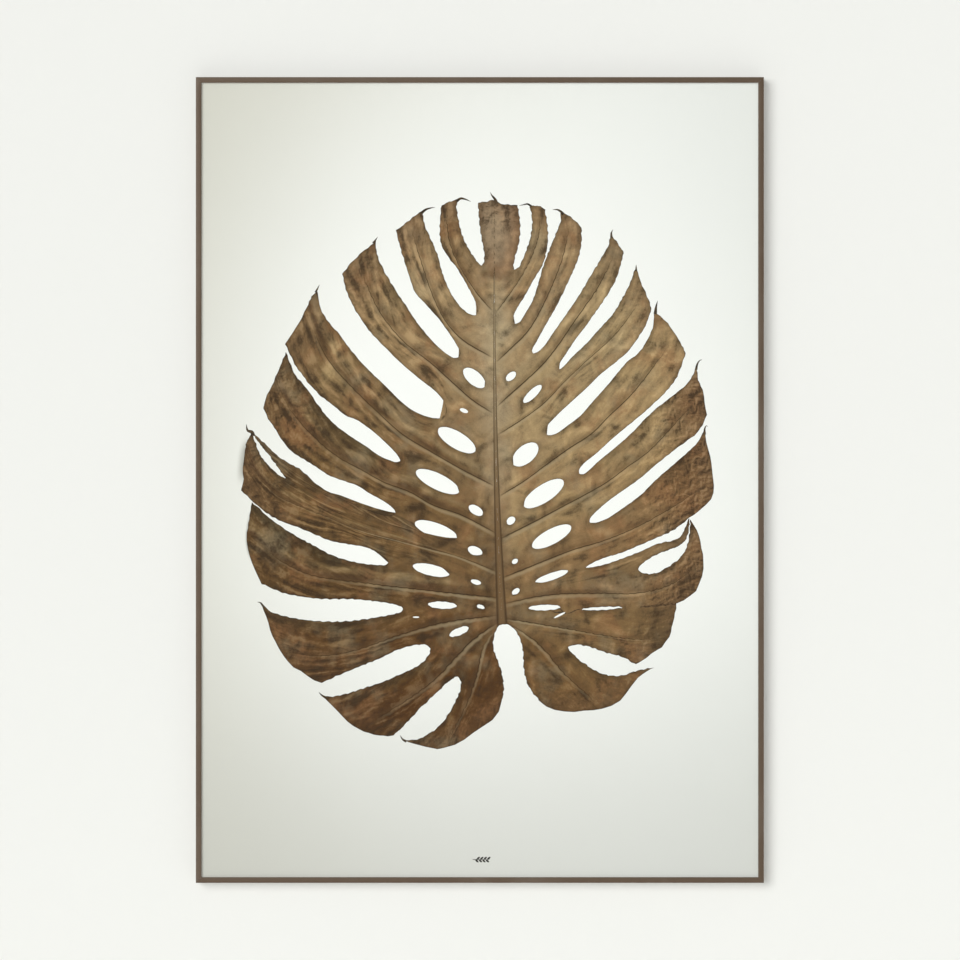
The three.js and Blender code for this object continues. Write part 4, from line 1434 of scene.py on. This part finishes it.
def makeHardware():
    spring = makeSteel("temperedSpringSteel", srgb(112, 116, 124), srgb(84, 84, 88), 0.38, 1.0)
    plated = makeSteel("brightZincPlate", srgb(206, 208, 210), srgb(172, 174, 172), 0.34, 0.7)
    rubber, tree, shader = newMaterial("blackRubber", **{"Specular IOR Level": 0.35})
    place = objectPlace(tree)
    bloom = cloud(tree, place, 500.0, 5.0, 0.7)
    dust = useGroup(tree, dustGroup, Place=place, Amount=0.5)["Mask"]
    dark = tint(tree, ramp(tree, bloom, 0.35, 0.7), srgb(30, 30, 31), srgb(50, 50, 50))
    plug(tree, shader["Base Color"], tint(tree, dust, dark, srgb(110, 106, 100)))
    plug(tree, shader["Roughness"], calc(tree, "MULTIPLY_ADD", bloom, 0.25, 0.65))
    plug(tree, shader["Normal"], bump(tree, bloom, 0.3, 0.08 * mm))
    for node in sorted(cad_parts):
        if node.startswith("spring_clip"):
            makeClip(node, spring)
        elif node.startswith("bumper"):
            makeBumper(node, rubber)
        elif node.startswith(("corner", "hanger")):
            easedCopy(node, 0.12 if "screw" in node else 0.22, plated)
    print("hardware made")


# The room: a pale wall behind the frame and a pale floor well below it. Both show from their front side only,
# so the back of the frame can be seen from behind the wall.
room = {
    "wall": srgb(233, 234, 230),
    "floor": srgb(226, 225, 220),
    "wallGap": 0.1,
    "floorDrop": 2200.0,
    "reach": 6000.0,
}


def makeRoomFinish(name, colour, scale):
    made, tree, shader = newMaterial(name, Roughness=0.9, **{"Specular IOR Level": 0.1})
    place = objectPlace(tree)
    grain = cloud(tree, place, scale, 4.0, 0.6)
    plug(tree, shader["Base Color"], brighten(tree, colour, calc(tree, "MULTIPLY_ADD", grain, 0.01, 0.995)))
    plug(tree, shader["Normal"], bump(tree, grain, 0.05, 0.2 * mm))
    out = next(n for n in tree.nodes if n.type == "OUTPUT_MATERIAL")
    behind = addNode(tree, "ShaderNodeNewGeometry").outputs["Backfacing"]
    mix = addNode(tree, "ShaderNodeMixShader", {"Fac": behind})
    tree.links.new(shader["Base Color"].node.outputs[0], mix.inputs[1])
    tree.links.new(addNode(tree, "ShaderNodeBsdfTransparent").outputs[0], mix.inputs[2])
    tree.links.new(mix.outputs[0], out.inputs[0])
    return made


def makeRoom():
    reach, floor = room["reach"], -room["floorDrop"]
    wallY = cadHigh.y / mm + room["wallGap"]
    sheets = (
        ("wall", [(-reach, wallY, floor), (reach, wallY, floor), (reach, wallY, reach), (-reach, wallY,
            reach)],
         makeRoomFinish("paleWallPaint", room["wall"], 90.0)),
        ("floor", [(-reach, -reach * 2, floor), (reach, -reach * 2, floor), (reach, reach, floor),
                   (-reach, reach, floor)],
         makeRoomFinish("paleFloor", room["floor"], 30.0)),
    )
    for name, corners, material in sheets:
        mesh = bpy.data.meshes.new(name)
        mesh.from_pydata([Vector(c) * mm for c in corners], [], [(0, 1, 2, 3)])
        mesh.materials.append(material)
        sheet = bpy.data.objects.new(name, mesh)
        bpy.context.scene.collection.objects.link(sheet)
        sheet.visible_shadow = False
    print("room made")


# A broad soft key from the upper left in front, an even fill from the front that casts no shadow, a weaker
# light
# from behind for the back, and a dim pale surround
light = {"key": 1.8, "keyFrom": (-0.45, -1.0, 0.22), "fill": 1.2, "fillFrom": (0.55, -1.0, -0.45),
         "back": 1.2, "backFrom": (0.6, 1.0, 0.7), "surround": 0.16}


def makeLights():
    for name, strength, place, spread in (
        ("keyLight", light["key"], light["keyFrom"], 35.0),
        ("fillLight", light["fill"], light["fillFrom"], 20.0),
        ("backLight", light["back"], light["backFrom"], 30.0),
    ):
        data = bpy.data.lights.new(name, "SUN")
        data.energy = strength
        data.angle = math.radians(spread)
        data.use_shadow = name != "fillLight"
        lamp = bpy.data.objects.new(name, data)
        lamp.location = Vector(place) * 3
        lamp.rotation_euler = Vector(place).to_track_quat("Z", "Y").to_euler()
        bpy.context.scene.collection.objects.link(lamp)
    world = bpy.data.worlds.new("surround")
    world.use_nodes = True
    background = world.node_tree.nodes["Background"]
    background.inputs["Color"].default_value = (1.0, 1.0, 1.0, 1.0)
    background.inputs["Strength"].default_value = light["surround"]
    bpy.context.scene.world = world
    print("lights made")


# Straight on from far away, so that both sides of the frame stay square
camera = {"distance": 6.0, "span": 1.2032, "sensor": 36.0, "aim": (0.0002, 0.0)}


def makeCamera():
    data = bpy.data.cameras.new("camera")
    data.sensor_width = camera["sensor"]
    data.lens = camera["sensor"] * camera["distance"] / camera["span"]
    data.clip_end = 60
    made = bpy.data.objects.new("camera", data)
    made.location = (camera["aim"][0], cadLow.y - camera["distance"], camera["aim"][1])
    made.rotation_euler = (math.pi / 2, 0, 0)
    bpy.context.scene.collection.objects.link(made)
    bpy.context.scene.camera = made
    bpy.context.scene.view_settings.view_transform = "Standard"
    print("camera set")


makeCamera()
makeRails()
makeGlazing()
makePaper()
makeLeafPrint()
makeCastShadow()
makeTips()
makeFlecks()
makeSprig()
makeBoard()
makeHardware()
makeRoom()
makeLights()
